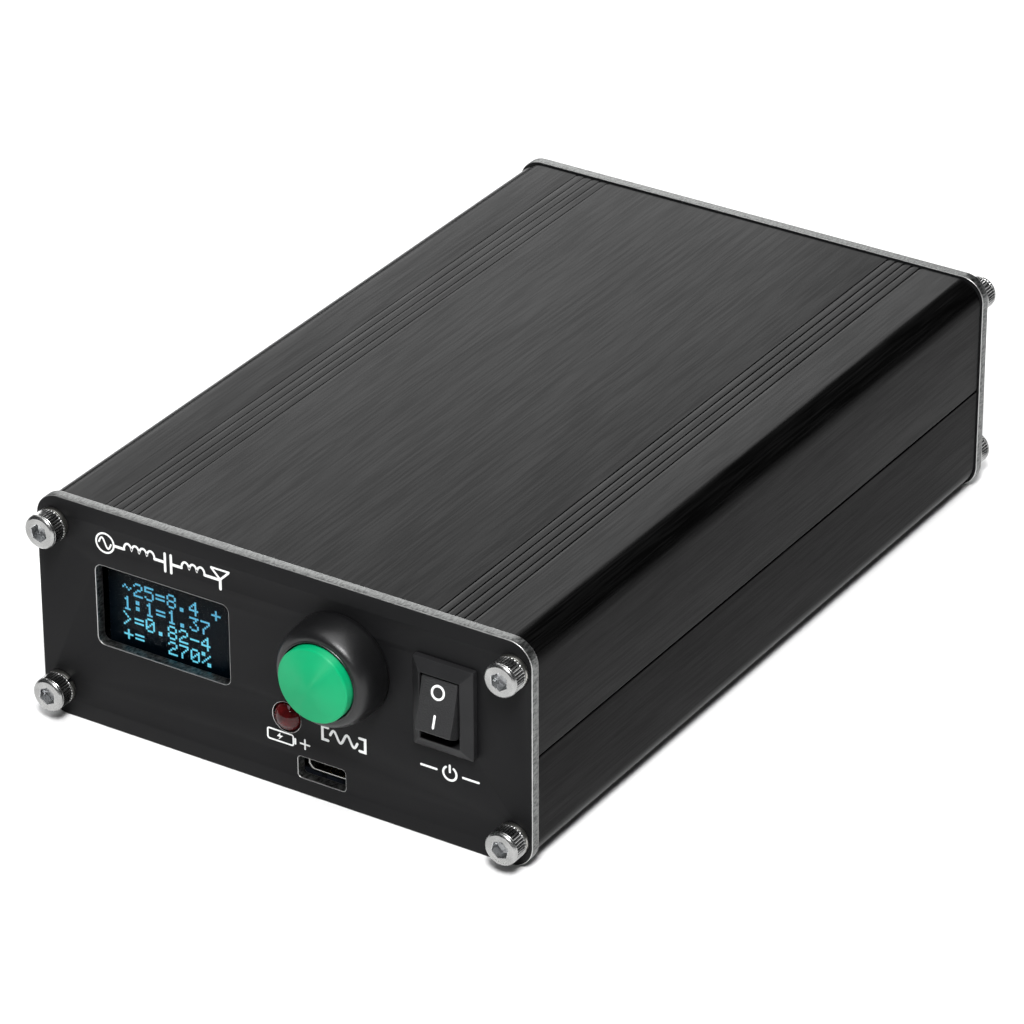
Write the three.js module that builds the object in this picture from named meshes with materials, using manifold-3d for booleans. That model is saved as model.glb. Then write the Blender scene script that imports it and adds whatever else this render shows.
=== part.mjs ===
// Automatic antenna tuner in a split aluminium case.
// Millimetres, +Z up, +X to the right seen from the front, front towards -Y.
// The origin is the middle of the case's flat underside.

import * as THREE from "three";
import { mergeVertices } from "three/addons/utils/BufferGeometryUtils.js";
import Module from "manifold-3d";

const wasm = await Module();
wasm.setup();

// ---------------------------------------------------------------- clearances
const touchGap = 0.05; // faces that rest on each other
const looseGap = 0.3; // pieces with play, or turned against each other
const slideGap = 0.2; // round pieces that slide in a bore

// ---------------------------------------------------------------- case
const caseWidth = 87.4;
const caseHeight = 37.4;
const caseLength = 133.5;
const caseCornerRadius = 4.2;
const caseWall = 1.7;
const seamHeight = 18.1;
const seamGap = 0.25;
const tongueDepth = 1.6;
const tongueThickness = 0.8;
const grooveCount = 5;
const groovePitch = 1.48;
const grooveFromMiddle = 29.6; // middle of a group of grooves, from the middle of the case
const grooveWidth = 0.34;
const grooveDepth = 0.3;
const bossRadius = 3.4;
const railReach = 2.2;
const railThickness = 1.2;

// ---------------------------------------------------------------- end plates
const plateThickness = 1.75;
const plateProud = 0.3; // how far a plate's edge stands out past the case
const plateCornerRadius = 4.0;

// ---------------------------------------------------------------- case screws (M3)
const screwShankRadius = 1.5;
const screwHeadRadius = 2.75;
const screwHeadHeight = 3.0;
const screwHeadChamfer = 0.25;
const screwSocketAcrossFlats = 2.5;
const screwSocketDepth = 1.6;
const screwGrip = 8; // shank length inside the case
const screwFromSide = 3.2; // screw axis from a plate's side edge
const screwFromEdge = 4.8; // screw axis from a plate's top or bottom edge
const washerOuterRadius = 2.7;
const washerThickness = 0.8;
const washerSplit = 0.45;
const shankTipRadius = 1.2;
const shankTipLength = 0.4;

// ---------------------------------------------------------------- display
const windowX = -21.3;
const windowZ = 21.2;
const windowWidth = 24.25;
const windowHeight = 13.75;
const windowCornerRadius = 1.2;
const glassX = -19.6;
const glassZ = 18.7;
const glassWidth = 26.7;
const glassHeight = 19.3;
const glassThickness = 1.5;
const displayBoardWidth = 27.3;
const displayBoardHeight = 27.8;
const displayBoardThickness = 1.2;
const displayBoardHoleRadius = 1.0;
const displayBoardHoleInset = 2.0;
const headerWidth = 10;
const headerHeight = 2.4;
const headerDepth = 2.5;
const headerFromTop = 1.5; // header's middle, from the board's top edge

// ---------------------------------------------------------------- push button
const buttonX = 11.0;
const buttonZ = 24.65;
const domeHeight = 6.4;
const domeLip = 0.3;
const domeFlare = 1.9; // how much wider the dome is at the panel than at its lip
const barrelRadius = 6.0;
const barrelDepth = 16;
const capRadius = 6.1;
const capProud = 1.4; // cap's rim above the dome's lip
const capThickness = 3.2;
const capStemRadius = 2.2;
const capStemLength = 10;
const capTravel = 1.8;
const capEdgeRound = 0.35;
const capCrown = 1; // middle of the cap above its rim, a shallow cone with a blunt tip
const capTipRadius = 1.6;
const capTipFall = 0.1;
const springRadius = 3.5;
const springWireRadius = 0.25;
const springTurns = 5;
const springPocketDepth = 4.0;
const buttonNutAcrossFlats = 15;
const buttonNutThickness = 2.4;
const buttonTerminalLength = 4.5;
const buttonTerminalWidth = 2.4;
const buttonTerminalThickness = 0.7;
const buttonTerminalX = 2.8; // a terminal's middle, from the button's axis

// ---------------------------------------------------------------- rocker switch
const rockerX = 29.35;
const rockerZ = 23.4;
const bezelOverhangX = 1.05; // bezel past the switch body, at each side
const bezelOverhangZ = 0.8; // bezel past the switch body, at each end
const bezelSideHeight = 1.0; // upright edge of the bezel
const bezelSlopeHeight = 1.0; // rise of the sloping frame above that edge
const paddleWidth = 6.2;
const paddleHalfLength = 4.2;
const paddleTopAboveAxle = 4.4;
const paddleDish = 0.15;
const paddleFootHalfLength = 1.2;
const paddleFootDepth = 2.4;
const paddleKneeDepth = 1.2;
const paddleHip = 0.55; // how far the paddle's ends bulge below its face
const paddleTiltDegrees = 15;
const axleBehindFace = 1.3;
const axleRadius = 0.9;
const axleReach = 0.55; // axle end past the paddle's side
const rockerSideWall = 0.8;
const rockerEndWall = 1.2;
const rockerBodyDepth = 12;
const rockerFloor = 3;
const rockerTerminalLength = 6;
const rockerTerminalWidth = 3.2;
const rockerTerminalThickness = 0.8;
const rockerTerminalZ = 3.6; // a terminal's middle, from the axle

// ---------------------------------------------------------------- charging
const lampX = 0.9;
const lampZ = 12.2;
const lampRadius = 2.5;
const lampProud = 1.3;
const lampLength = 8.6;
const lampFlangeRadius = 2.9;
const lampFlangeThickness = 1;
const slotX = 7.0;
const slotWidth = 8.5;
const slotHeight = 3.67;
const slotCornerRadius = 0.6;
const chargeBoardWidth = 17;
const chargeBoardLength = 28;
const chargeBoardThickness = 1.2;
const chargeSocketWidth = 7.6;
const chargeSocketHeight = 2.6;
const chargeSocketDepth = 5.2;
const chargeSocketWall = 0.3;
const chargeSocketBevel = 0.7;
const chargeSocketBack = 0.5; // thickness of the socket's back wall
const chargeTongueWidth = 5;
const chargeTongueThickness = 0.6;
const chargeTongueSetBack = 0.8;
const slotZ = caseWall + chargeBoardThickness + chargeSocketHeight / 2 + 3 * touchGap;

// ---------------------------------------------------------------- main board and what stands on it
const boardUnderside = 8.6;
const boardThickness = 1.6;
const boardFromFrontPlate = 21.05;
const boardFromRearPlate = 9.05;
const relayWidth = 15.6;
const relayLength = 10.6;
const relayHeight = 11.5;
const relayPitch = 11.2;
const relayBaseHeight = 0.8;
const relayFromMiddle = 22.2;
const relaysFromBoardFront = 8;
const inductorRelayCount = 7;
const capacitorRelayCount = 8;
const capacitorWidth = 2.6;
const capacitorLength = 7.2;
const capacitorHeight = 6.5;
const capacitorCount = 7;
const chipWidth = 6.8;
const chipLength = 35.2;
const chipX = 6.5;
const chipPinPitch = 2.54;
const chipPinsPerSide = 14;
const chipPinWidth = 0.6;
const chipPinHeight = 2.2;
const chipPinReach = 0.7;
const chipStandOff = 0.9;
const chipHeight = 3.3;
const chipFromBoardFront = 26;
const couplerWidth = 14;
const couplerLength = 13;
const couplerHeight = 8;
const couplerBoreRadius = 1.9;
const couplerFromBoardBack = 9.5;
const toroidOuterRadius = 6.5;
const toroidCoreWidth = 4.6;
const toroidCoreDepth = 2.4;
const toroidPitch = 11.5;
const toroidCount = 4;
const toroidTurns = 8;
const toroidWire = 1; // width of a turn of wire
const lastToroidFromBoardBack = 15.5;
const airCoilRadius = 3.0;
const airCoilWireRadius = 0.5;
const airCoilPitch = 10;
const airCoilCount = 3;
const airCoilX = -6.5;
const firstCoilFromBoardFront = 14;
const batteryWidth = 34;
const batteryLength = 50;
const batteryThickness = 7;
const batteryBehindMiddle = 5;
const batteryCornerRadius = 2;

// ---------------------------------------------------------------- coaxial sockets
const socketFromMiddle = 20;
const socketZ = 17.5;
const socketThreadRadius = 7.9;
const socketBoreRadius = 6.0;
const socketReach = 15;
const socketFlangeRadius = 10;
const socketFlangeThickness = 2;
const socketNutAcrossFlats = 19;
const socketNutThickness = 2.5;
const insulatorReach = 5;
const contactRadius = 2.8;
const contactBoreRadius = 2.0;
const contactBoreDepth = 10;
const contactTail = 7;

// ---------------------------------------------------------------- fineness of round pieces
const roundSides = 28;
const smallSides = 16;
const boreSides = 12;
const cornerSegments = 8;
const innerCornerSegments = 4;

// ---------------------------------------------------------------- values that follow from those above
const plateWidth = caseWidth + 2 * plateProud;
const plateHeight = caseHeight + 2 * plateProud;
const plateInnerY = caseLength / 2 + looseGap;
const faceY = plateInnerY + plateThickness; // outer face of either plate, from the middle
const screwX = plateWidth / 2 - screwFromSide;
const screwLowZ = screwFromEdge - plateProud;
const screwHighZ = caseHeight + plateProud - screwFromEdge;
const cavityHalfWidth = caseWidth / 2 - caseWall;
const boardFront = boardFromFrontPlate - plateInnerY;
const boardBack = plateInnerY - boardFromRearPlate;
const boardTop = boardUnderside + boardThickness;
const bezelTop = bezelSideHeight + bezelSlopeHeight;
const domeLipRadius = capRadius + slideGap + domeLip;
const domeBaseRadius = domeLipRadius + domeFlare;
const paddleTilt = THREE.MathUtils.degToRad(paddleTiltDegrees);
const paddleOpeningHalfHeight =
  paddleHalfLength * Math.cos(paddleTilt) + paddleTopAboveAxle * Math.sin(paddleTilt) + looseGap;
const paddleOpeningHalfWidth = paddleWidth / 2 + looseGap;
const rockerBodyWidth = 2 * (paddleOpeningHalfWidth + rockerSideWall);
const rockerBodyHeight = 2 * (paddleOpeningHalfHeight + rockerEndWall);
const bezelWidth = rockerBodyWidth + 2 * bezelOverhangX;
const bezelHeight = rockerBodyHeight + 2 * bezelOverhangZ;

// ---------------------------------------------------------------- materials
function metal(color, roughness) {
  return new THREE.MeshStandardMaterial({ color, roughness, metalness: 1 });
}

function plain(color, roughness) {
  return new THREE.MeshStandardMaterial({ color, roughness, metalness: 0 });
}

const materials = {
  blackAnodised: metal(0x1c1c1e, 0.42),
  paintedPlate: metal(0x28282a, 0.55),
  steel: metal(0xb9b9b6, 0.32),
  springSteel: metal(0xa5a5a2, 0.35),
  nickel: metal(0xc4c2ba, 0.25),
  gold: metal(0xc9a24a, 0.3),
  copperWire: metal(0xb5602c, 0.35),
  darkGlass: plain(0x05070c, 0.06),
  blackPlastic: plain(0x121213, 0.4),
  greenPlastic: plain(0x0fa470, 0.35),
  redLens: plain(0x5a0d10, 0.15),
  circuitBoard: plain(0x14512f, 0.45),
  blackBoard: plain(0x12161c, 0.45),
  relayPlastic: plain(0x1d3f8a, 0.45),
  capacitorPlastic: plain(0xc98a22, 0.4),
  ironPowder: plain(0x9b2a22, 0.6),
  ferrite: plain(0x2b2b2d, 0.7),
  batteryWrap: plain(0x9da3a8, 0.35),
  whitePlastic: plain(0xe8e6de, 0.5),
  cableSleeve: plain(0x1a1a1a, 0.6),
  redSleeve: plain(0x9c1a16, 0.55),
};

// ---------------------------------------------------------------- solids
function toSolid(geometry) {
  const bare = geometry.clone();
  bare.deleteAttribute("normal");
  bare.deleteAttribute("uv");
  const merged = mergeVertices(bare, 1e-4);
  return new wasm.Manifold(
    new wasm.Mesh({
      numProp: 3,
      vertProperties: new Float32Array(merged.attributes.position.array),
      triVerts: new Uint32Array(merged.index.array),
    }),
  );
}

function toGeometry(solid) {
  const mesh = solid.getMesh();
  const geometry = new THREE.BufferGeometry();
  geometry.setAttribute("position", new THREE.BufferAttribute(mesh.vertProperties, 3));
  geometry.setIndex(new THREE.BufferAttribute(mesh.triVerts, 1));
  geometry.computeVertexNormals();
  return geometry;
}

function joined(solids) {
  return solids.reduce((sum, next) => sum.add(next));
}

function without(solid, cuts) {
  return cuts.reduce((rest, cut) => rest.subtract(cut), solid);
}

// A block between two opposite corners.
function block(x0, x1, y0, y1, z0, z1) {
  const geometry = new THREE.BoxGeometry(x1 - x0, y1 - y0, z1 - z0);
  geometry.translate((x0 + x1) / 2, (y0 + y1) / 2, (z0 + z1) / 2);
  return toSolid(geometry);
}

// An outline drawn in X and Z, drawn out along Y from y0 to y1.
function prism(shape, y0, y1, curveSegments = 6) {
  const geometry = new THREE.ExtrudeGeometry(shape, {
    depth: y1 - y0,
    bevelEnabled: false,
    curveSegments,
  });
  geometry.rotateX(Math.PI / 2);
  geometry.translate(0, y1, 0);
  return toSolid(geometry);
}

// A cylinder along Y.
function rod(radius, x, z, y0, y1, sides = smallSides) {
  const geometry = new THREE.CylinderGeometry(radius, radius, y1 - y0, sides);
  geometry.translate(x, (y0 + y1) / 2, z);
  return toSolid(geometry);
}

// An outline drawn in X and Y, drawn out along Z, half of it to either side.
function alongZ(shape, length) {
  const geometry = new THREE.ExtrudeGeometry(shape, { depth: length, bevelEnabled: false });
  geometry.translate(0, 0, -length / 2);
  return toSolid(geometry);
}

// An outline drawn in Z and Y, drawn out along X, half of it to either side.
function alongX(shape, length) {
  const geometry = new THREE.ExtrudeGeometry(shape, { depth: length, bevelEnabled: false });
  geometry.translate(0, 0, -length / 2);
  geometry.rotateY(-Math.PI / 2);
  return toSolid(geometry);
}

function rodAlongX(radius, length, y) {
  const geometry = new THREE.CylinderGeometry(radius, radius, length, smallSides);
  geometry.rotateZ(Math.PI / 2);
  geometry.translate(0, y, 0);
  return toSolid(geometry);
}

// A closed profile of [radius, height] points turned about an axis along Y; height grows towards +Y.
function turned(profile, sides = smallSides) {
  const points = profile.map(([radius, height]) => new THREE.Vector2(radius, height));
  const onAxis = profile[0][0] === 0 && profile[profile.length - 1][0] === 0;
  if (!onAxis) points.push(points[0].clone());
  return new THREE.LatheGeometry(points, sides);
}

function roundedRectangle(x, z, width, height, radius) {
  const left = x - width / 2;
  const right = x + width / 2;
  const low = z - height / 2;
  const high = z + height / 2;
  const shape = new THREE.Shape();
  shape.moveTo(left + radius, low);
  shape.lineTo(right - radius, low);
  shape.absarc(right - radius, low + radius, radius, -Math.PI / 2, 0);
  shape.lineTo(right, high - radius);
  shape.absarc(right - radius, high - radius, radius, 0, Math.PI / 2);
  shape.lineTo(left + radius, high);
  shape.absarc(left + radius, high - radius, radius, Math.PI / 2, Math.PI);
  shape.lineTo(left, low + radius);
  shape.absarc(left + radius, low + radius, radius, Math.PI, 1.5 * Math.PI);
  return shape;
}

function polygon(points) {
  return new THREE.Shape(points.map(([x, y]) => new THREE.Vector2(x, y)));
}

function regularPolygon(sides, acrossFlats, x, z) {
  const radius = acrossFlats / 2 / Math.cos(Math.PI / sides);
  const points = [];
  for (let i = 0; i < sides; i++) {
    const angle = (2 * Math.PI * (i + 0.5)) / sides;
    points.push([x + radius * Math.cos(angle), z + radius * Math.sin(angle)]);
  }
  return polygon(points);
}

// A round wire or lead through a list of points.
function tube(points, radius, steps, sides = 8) {
  const path = new THREE.CatmullRomCurve3(points.map((p) => new THREE.Vector3(...p)));
  const section = new THREE.Shape();
  for (let i = 0; i < sides; i++) {
    const angle = (2 * Math.PI * i) / sides;
    const x = radius * Math.cos(angle);
    const y = radius * Math.sin(angle);
    if (i === 0) section.moveTo(x, y);
    else section.lineTo(x, y);
  }
  return new THREE.ExtrudeGeometry(section, { steps, extrudePath: path });
}

// ---------------------------------------------------------------- the assembly
const tuner = new THREE.Group();

function place(name, shape, material, parent = tuner) {
  const geometry = shape.isBufferGeometry ? shape : toGeometry(shape);
  const mesh = new THREE.Mesh(geometry, material);
  mesh.name = name;
  parent.add(mesh);
  return mesh;
}

// A group whose own +Y points out of the front face, for pieces turned about an axis through it.
function outwardFromFront(x, z) {
  const group = new THREE.Group();
  group.position.set(x, -faceY, z);
  group.rotation.z = Math.PI;
  tuner.add(group);
  return group;
}

function outwardFromRear(x, z) {
  const group = new THREE.Group();
  group.position.set(x, faceY, z);
  tuner.add(group);
  return group;
}

// ---------------------------------------------------------------- case shells
function caseEnvelope() {
  const outline = roundedRectangle(0, caseHeight / 2, caseWidth, caseHeight, caseCornerRadius);
  return prism(outline, -caseLength / 2, caseLength / 2, cornerSegments);
}

function caseCavity() {
  const innerRadius = caseCornerRadius - caseWall;
  const outline = roundedRectangle(
    0,
    caseHeight / 2,
    2 * cavityHalfWidth,
    caseHeight - 2 * caseWall,
    innerRadius,
  );
  return prism(outline, -caseLength / 2 - 1, caseLength / 2 + 1, innerCornerSegments);
}

// Small trapezoid grooves along the flat face at height z; inward is -1 for the top, 1 for the underside.
function surfaceGrooves(z, inward) {
  const cuts = [];
  const mouth = grooveWidth / 2;
  const floor = grooveWidth / 4;
  for (const side of [-1, 1]) {
    for (let i = 0; i < grooveCount; i++) {
      const x = side * grooveFromMiddle + (i - (grooveCount - 1) / 2) * groovePitch;
      const above = z - inward * 0.1;
      const below = z + inward * grooveDepth;
      const outline = polygon([
        [x - mouth, above],
        [x + mouth, above],
        [x + floor, below],
        [x - floor, below],
      ]);
      cuts.push(prism(outline, -caseLength / 2 - 1, caseLength / 2 + 1));
    }
  }
  return cuts;
}

function screwChannels(z) {
  return [-1, 1].map((side) =>
    rod(bossRadius, side * screwX, z, -caseLength / 2, caseLength / 2),
  );
}

function screwBores(z) {
  const radius = screwShankRadius + looseGap;
  return [-1, 1].map((side) =>
    rod(radius, side * screwX, z, -caseLength / 2 - 1, caseLength / 2 + 1, boreSides),
  );
}

// Ledges on both side walls, below and above a board that slides in between them.
function boardRails(undersideZ) {
  const rails = [];
  const lowTop = undersideZ - touchGap * 4;
  const highBottom = undersideZ + boardThickness + touchGap * 4;
  for (const side of [-1, 1]) {
    const wall = side * (cavityHalfWidth + 0.2);
    const edge = side * (cavityHalfWidth - railReach);
    const x0 = Math.min(wall, edge);
    const x1 = Math.max(wall, edge);
    rails.push(block(x0, x1, -caseLength / 2, caseLength / 2, lowTop - railThickness, lowTop));
    rails.push(
      block(x0, x1, -caseLength / 2, caseLength / 2, highBottom, highBottom + railThickness),
    );
  }
  return rails;
}

function buildTopShell() {
  const outer = caseWidth / 2 + 1;
  const end = caseLength / 2 + 1;
  const tongue = cavityHalfWidth + tongueThickness;
  const above = block(-outer, outer, -end, end, seamHeight + seamGap / 2, caseHeight + 1);
  const inside = block(-tongue, tongue, -end, end, seamHeight - tongueDepth, caseHeight + 1);
  const wall = caseEnvelope().subtract(caseCavity());
  const mirroredRails = boardRails(caseHeight - boardUnderside - boardThickness);
  const half = joined([wall.intersect(above.add(inside)), ...screwChannels(screwHighZ), ...mirroredRails]);
  const trimmed = half.intersect(caseEnvelope());
  return without(trimmed, [...screwBores(screwHighZ), ...surfaceGrooves(caseHeight, -1)]);
}

function buildBottomShell() {
  const outer = caseWidth / 2 + 1;
  const end = caseLength / 2 + 1;
  const rebate = cavityHalfWidth + tongueThickness + touchGap * 3;
  const rebateFloor = seamHeight - tongueDepth - touchGap * 3;
  const below = block(-outer, outer, -end, end, -1, seamHeight - seamGap / 2);
  const cut = block(-rebate, rebate, -end, end, rebateFloor, seamHeight + 1);
  const wall = caseEnvelope().subtract(caseCavity()).intersect(below).subtract(cut);
  const half = joined([wall, ...screwChannels(screwLowZ), ...boardRails(boardUnderside)]);
  const trimmed = half.intersect(caseEnvelope());
  return without(trimmed, [...screwBores(screwLowZ), ...surfaceGrooves(0, 1)]);
}

// ---------------------------------------------------------------- end plates
function plateBlank(y0, y1) {
  const outline = roundedRectangle(0, caseHeight / 2, plateWidth, plateHeight, plateCornerRadius);
  return prism(outline, y0, y1, cornerSegments);
}

function plateScrewHoles(y0, y1) {
  const holes = [];
  for (const x of [-screwX, screwX]) {
    for (const z of [screwLowZ, screwHighZ]) {
      holes.push(rod(screwShankRadius + looseGap, x, z, y0 - 1, y1 + 1, boreSides));
    }
  }
  return holes;
}

function buildFrontPanel() {
  const y0 = -faceY;
  const y1 = -plateInnerY;
  const through = (shape) => prism(shape, y0 - 1, y1 + 1, 3);
  const bodyWidth = rockerBodyWidth + 2 * slideGap;
  const bodyHeight = rockerBodyHeight + 2 * slideGap;
  return without(plateBlank(y0, y1), [
    ...plateScrewHoles(y0, y1),
    through(roundedRectangle(windowX, windowZ, windowWidth, windowHeight, windowCornerRadius)),
    through(roundedRectangle(slotX, slotZ, slotWidth, slotHeight, slotCornerRadius)),
    through(roundedRectangle(rockerX, rockerZ, bodyWidth, bodyHeight, slideGap)),
    rod(barrelRadius + slideGap, buttonX, buttonZ, y0 - 1, y1 + 1, roundSides),
    rod(lampRadius + slideGap, lampX, lampZ, y0 - 1, y1 + 1, smallSides),
  ]);
}

function buildRearPanel() {
  const y0 = plateInnerY;
  const y1 = faceY;
  const socketHoles = [-1, 1].map((side) =>
    rod(socketThreadRadius + slideGap, side * socketFromMiddle, socketZ, y0 - 1, y1 + 1, roundSides),
  );
  return without(plateBlank(y0, y1), [...plateScrewHoles(y0, y1), ...socketHoles]);
}

// ---------------------------------------------------------------- case screws and spring washers
// Both stand on a plate's outer face, with +Y pointing out of it.
function buildCaseScrew() {
  const headBase = washerThickness + 2 * touchGap;
  const headTop = headBase + screwHeadHeight;
  const tip = -(plateThickness + looseGap + screwGrip);
  const blank = turned(
    [
      [0, tip],
      [shankTipRadius, tip],
      [screwShankRadius, tip + shankTipLength],
      [screwShankRadius, headBase],
      [screwHeadRadius, headBase],
      [screwHeadRadius, headTop - screwHeadChamfer],
      [screwHeadRadius - screwHeadChamfer, headTop],
      [0, headTop],
    ],
  );
  const socket = regularPolygon(6, screwSocketAcrossFlats, 0, 0);
  return toSolid(blank).subtract(prism(socket, headTop - screwSocketDepth, headTop + 1));
}

function buildWasher() {
  const inner = screwShankRadius + looseGap;
  const ring = turned(
    [
      [inner, touchGap],
      [washerOuterRadius, touchGap],
      [washerOuterRadius, touchGap + washerThickness],
      [inner, touchGap + washerThickness],
    ],
  );
  const split = block(0, washerOuterRadius + 1, -1, washerThickness + 1, 0, washerSplit);
  return toSolid(ring).subtract(split);
}

function addFasteners() {
  const ends = [
    ["front", outwardFromFront],
    ["rear", outwardFromRear],
  ];
  for (const [end, outward] of ends) {
    let number = 1;
    for (const z of [screwHighZ, screwLowZ]) {
      for (const x of [-screwX, screwX]) {
        const group = outward(x, z);
        place(`case_screw_${end}_${number}`, buildCaseScrew(), materials.steel, group);
        place(`spring_washer_${end}_${number}`, buildWasher(), materials.springSteel, group);
        number += 1;
      }
    }
  }
}

// ---------------------------------------------------------------- display
function addDisplay() {
  const glassFront = -plateInnerY + touchGap;
  const glassBack = glassFront + glassThickness;
  const boardFace = glassBack + touchGap;
  const boardBackFace = boardFace + displayBoardThickness;
  const glass = block(
    glassX - glassWidth / 2,
    glassX + glassWidth / 2,
    glassFront,
    glassBack,
    glassZ - glassHeight / 2,
    glassZ + glassHeight / 2,
  );
  const halfWidth = displayBoardWidth / 2;
  const halfHeight = displayBoardHeight / 2;
  const card = block(
    glassX - halfWidth,
    glassX + halfWidth,
    boardFace,
    boardBackFace,
    glassZ - halfHeight,
    glassZ + halfHeight,
  );
  const holes = [];
  for (const sx of [-1, 1]) {
    for (const sz of [-1, 1]) {
      const x = glassX + sx * (halfWidth - displayBoardHoleInset);
      const z = glassZ + sz * (halfHeight - displayBoardHoleInset);
      holes.push(rod(displayBoardHoleRadius, x, z, boardFace - 1, boardBackFace + 1, boreSides));
    }
  }
  const headerZ = glassZ + halfHeight - headerFromTop;
  const headerBack = boardBackFace + headerDepth;
  const header = block(
    glassX - headerWidth / 2,
    glassX + headerWidth / 2,
    boardBackFace - touchGap,
    headerBack,
    headerZ - headerHeight / 2,
    headerZ + headerHeight / 2,
  );
  place("display_glass", glass, materials.darkGlass);
  place("display_board", without(card, holes).add(header), materials.blackBoard);
  const leadStart = headerBack + looseGap;
  const route = [
    [glassX, leadStart, headerZ],
    [glassX, leadStart + 4, headerZ - 1],
    [glassX + 2, leadStart + 8, headerZ - 9],
    [glassX + 6, boardFront - 1, boardTop + 6],
    [glassX + 7, boardFront + 3, boardTop + 3],
    [glassX + 7, boardFront + 3, boardTop + 2 * looseGap],
  ];
  place("display_lead", tube(route, 1.1, 16), materials.cableSleeve);
}

// ---------------------------------------------------------------- push button
// Profiles are [radius, height out of the front face].
function buildButtonHousing() {
  const cavity = capRadius + slideGap;
  const capBack = domeHeight + capProud - capThickness;
  const floor = capBack - capTravel - 2 * looseGap;
  const pocket = springRadius + springWireRadius + looseGap;
  const stemBore = capStemRadius + slideGap;
  const boreEnd = capBack - capStemLength - capTravel - looseGap;
  const side = [];
  const waist = 0.16; // share of the height that stands upright before the side curves in
  const steps = 6;
  for (let i = 0; i <= steps; i++) {
    const angle = (Math.PI / 2) * (i / steps);
    const rise = waist + (1 - waist) * Math.sin(angle);
    const radius = domeLipRadius + domeFlare * Math.cos(angle);
    side.push([radius, domeHeight * rise]);
  }
  const body = toSolid(
    turned(
      [
        [0, -barrelDepth],
        [barrelRadius, -barrelDepth],
        [barrelRadius, touchGap],
        [domeBaseRadius, touchGap],
        ...side,
        [cavity, domeHeight],
        [cavity, floor],
        [pocket, floor],
        [pocket, -springPocketDepth],
        [stemBore, -springPocketDepth],
        [stemBore, boreEnd],
        [0, boreEnd],
      ],
      roundSides,
    ),
  );
  const terminals = [-1, 1].map((end) => {
    const x = end * buttonTerminalX;
    const halfThickness = buttonTerminalThickness / 2;
    const halfWidth = buttonTerminalWidth / 2;
    const tip = -barrelDepth - buttonTerminalLength;
    const root = -barrelDepth + slideGap;
    return block(x - halfThickness, x + halfThickness, tip, root, -halfWidth, halfWidth);
  });
  return joined([body, ...terminals]);
}

function buildButtonCap() {
  const rim = domeHeight + capProud;
  const back = rim - capThickness;
  return turned(
    [
      [0, back - capStemLength],
      [capStemRadius, back - capStemLength],
      [capStemRadius, back],
      [capRadius, back],
      [capRadius, rim - capEdgeRound],
      [capRadius - capEdgeRound, rim],
      [capTipRadius, rim + capCrown - capTipFall],
      [0, rim + capCrown],
    ],
    roundSides,
  );
}

function buildButtonSpring() {
  const low = -springPocketDepth + springWireRadius + touchGap;
  const high = domeHeight + capProud - capThickness - springWireRadius - touchGap;
  const points = [];
  const perTurn = 10;
  for (let i = 0; i <= springTurns * perTurn; i++) {
    const angle = (2 * Math.PI * i) / perTurn;
    const height = low + ((high - low) * i) / (springTurns * perTurn);
    points.push([springRadius * Math.cos(angle), height, springRadius * Math.sin(angle)]);
  }
  return tube(points, springWireRadius, springTurns * perTurn, 5);
}

function buildButtonNut() {
  const top = -plateThickness - touchGap;
  const outline = regularPolygon(6, buttonNutAcrossFlats, 0, 0);
  const bore = rod(barrelRadius + slideGap, 0, 0, top - buttonNutThickness - 1, top + 1, roundSides);
  return prism(outline, top - buttonNutThickness, top).subtract(bore);
}

function addPushButton() {
  const group = outwardFromFront(buttonX, buttonZ);
  place("tune_button_housing", buildButtonHousing(), materials.blackPlastic, group);
  place("tune_button_cap", buildButtonCap(), materials.greenPlastic, group);
  place("tune_button_spring", buildButtonSpring(), materials.springSteel, group);
  place("tune_button_nut", buildButtonNut(), materials.nickel, group);
  const terminalTip = -faceY + barrelDepth + buttonTerminalLength;
  const route = [
    [buttonX, terminalTip + looseGap, buttonZ],
    [buttonX, terminalTip + 3, buttonZ - 1.5],
    [buttonX + 0.5, boardFront + 4.5, (buttonZ + boardTop) / 2],
    [buttonX + 1, boardFront + 4, boardTop + 2],
    [buttonX + 1, boardFront + 4, boardTop + looseGap],
  ];
  place("button_lead", tube(route, 0.9, 14), materials.redSleeve);
}

// ---------------------------------------------------------------- rocker switch
// The side view of one direction of the bezel: upright edges, then slopes up to the opening.
function bezelProfile(half, openingHalf) {
  return polygon([
    [-half, -touchGap],
    [half, -touchGap],
    [half, -bezelSideHeight],
    [openingHalf, -bezelTop],
    [-openingHalf, -bezelTop],
    [-half, -bezelSideHeight],
  ]);
}

function buildRockerHousing() {
  const slopedSides = alongZ(bezelProfile(bezelWidth / 2, paddleOpeningHalfWidth), bezelHeight);
  const slopedEnds = alongX(bezelProfile(bezelHeight / 2, paddleOpeningHalfHeight), bezelWidth);
  const bezel = slopedSides.intersect(slopedEnds);
  const body = block(
    -rockerBodyWidth / 2,
    rockerBodyWidth / 2,
    -bezelSideHeight / 2,
    rockerBodyDepth,
    -rockerBodyHeight / 2,
    rockerBodyHeight / 2,
  );
  const cavity = block(
    -paddleOpeningHalfWidth,
    paddleOpeningHalfWidth,
    -2 * bezelTop,
    rockerBodyDepth - rockerFloor,
    -paddleOpeningHalfHeight,
    paddleOpeningHalfHeight,
  );
  const axleHole = rodAlongX(axleRadius + looseGap, rockerBodyWidth + 2, axleBehindFace);
  const terminals = [-1, 1].map((end) =>
    block(
      -rockerTerminalWidth / 2,
      rockerTerminalWidth / 2,
      rockerBodyDepth - slideGap,
      rockerBodyDepth + rockerTerminalLength,
      end * rockerTerminalZ - rockerTerminalThickness / 2,
      end * rockerTerminalZ + rockerTerminalThickness / 2,
    ),
  );
  return joined([without(bezel.add(body), [cavity, axleHole]), ...terminals]);
}

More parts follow.
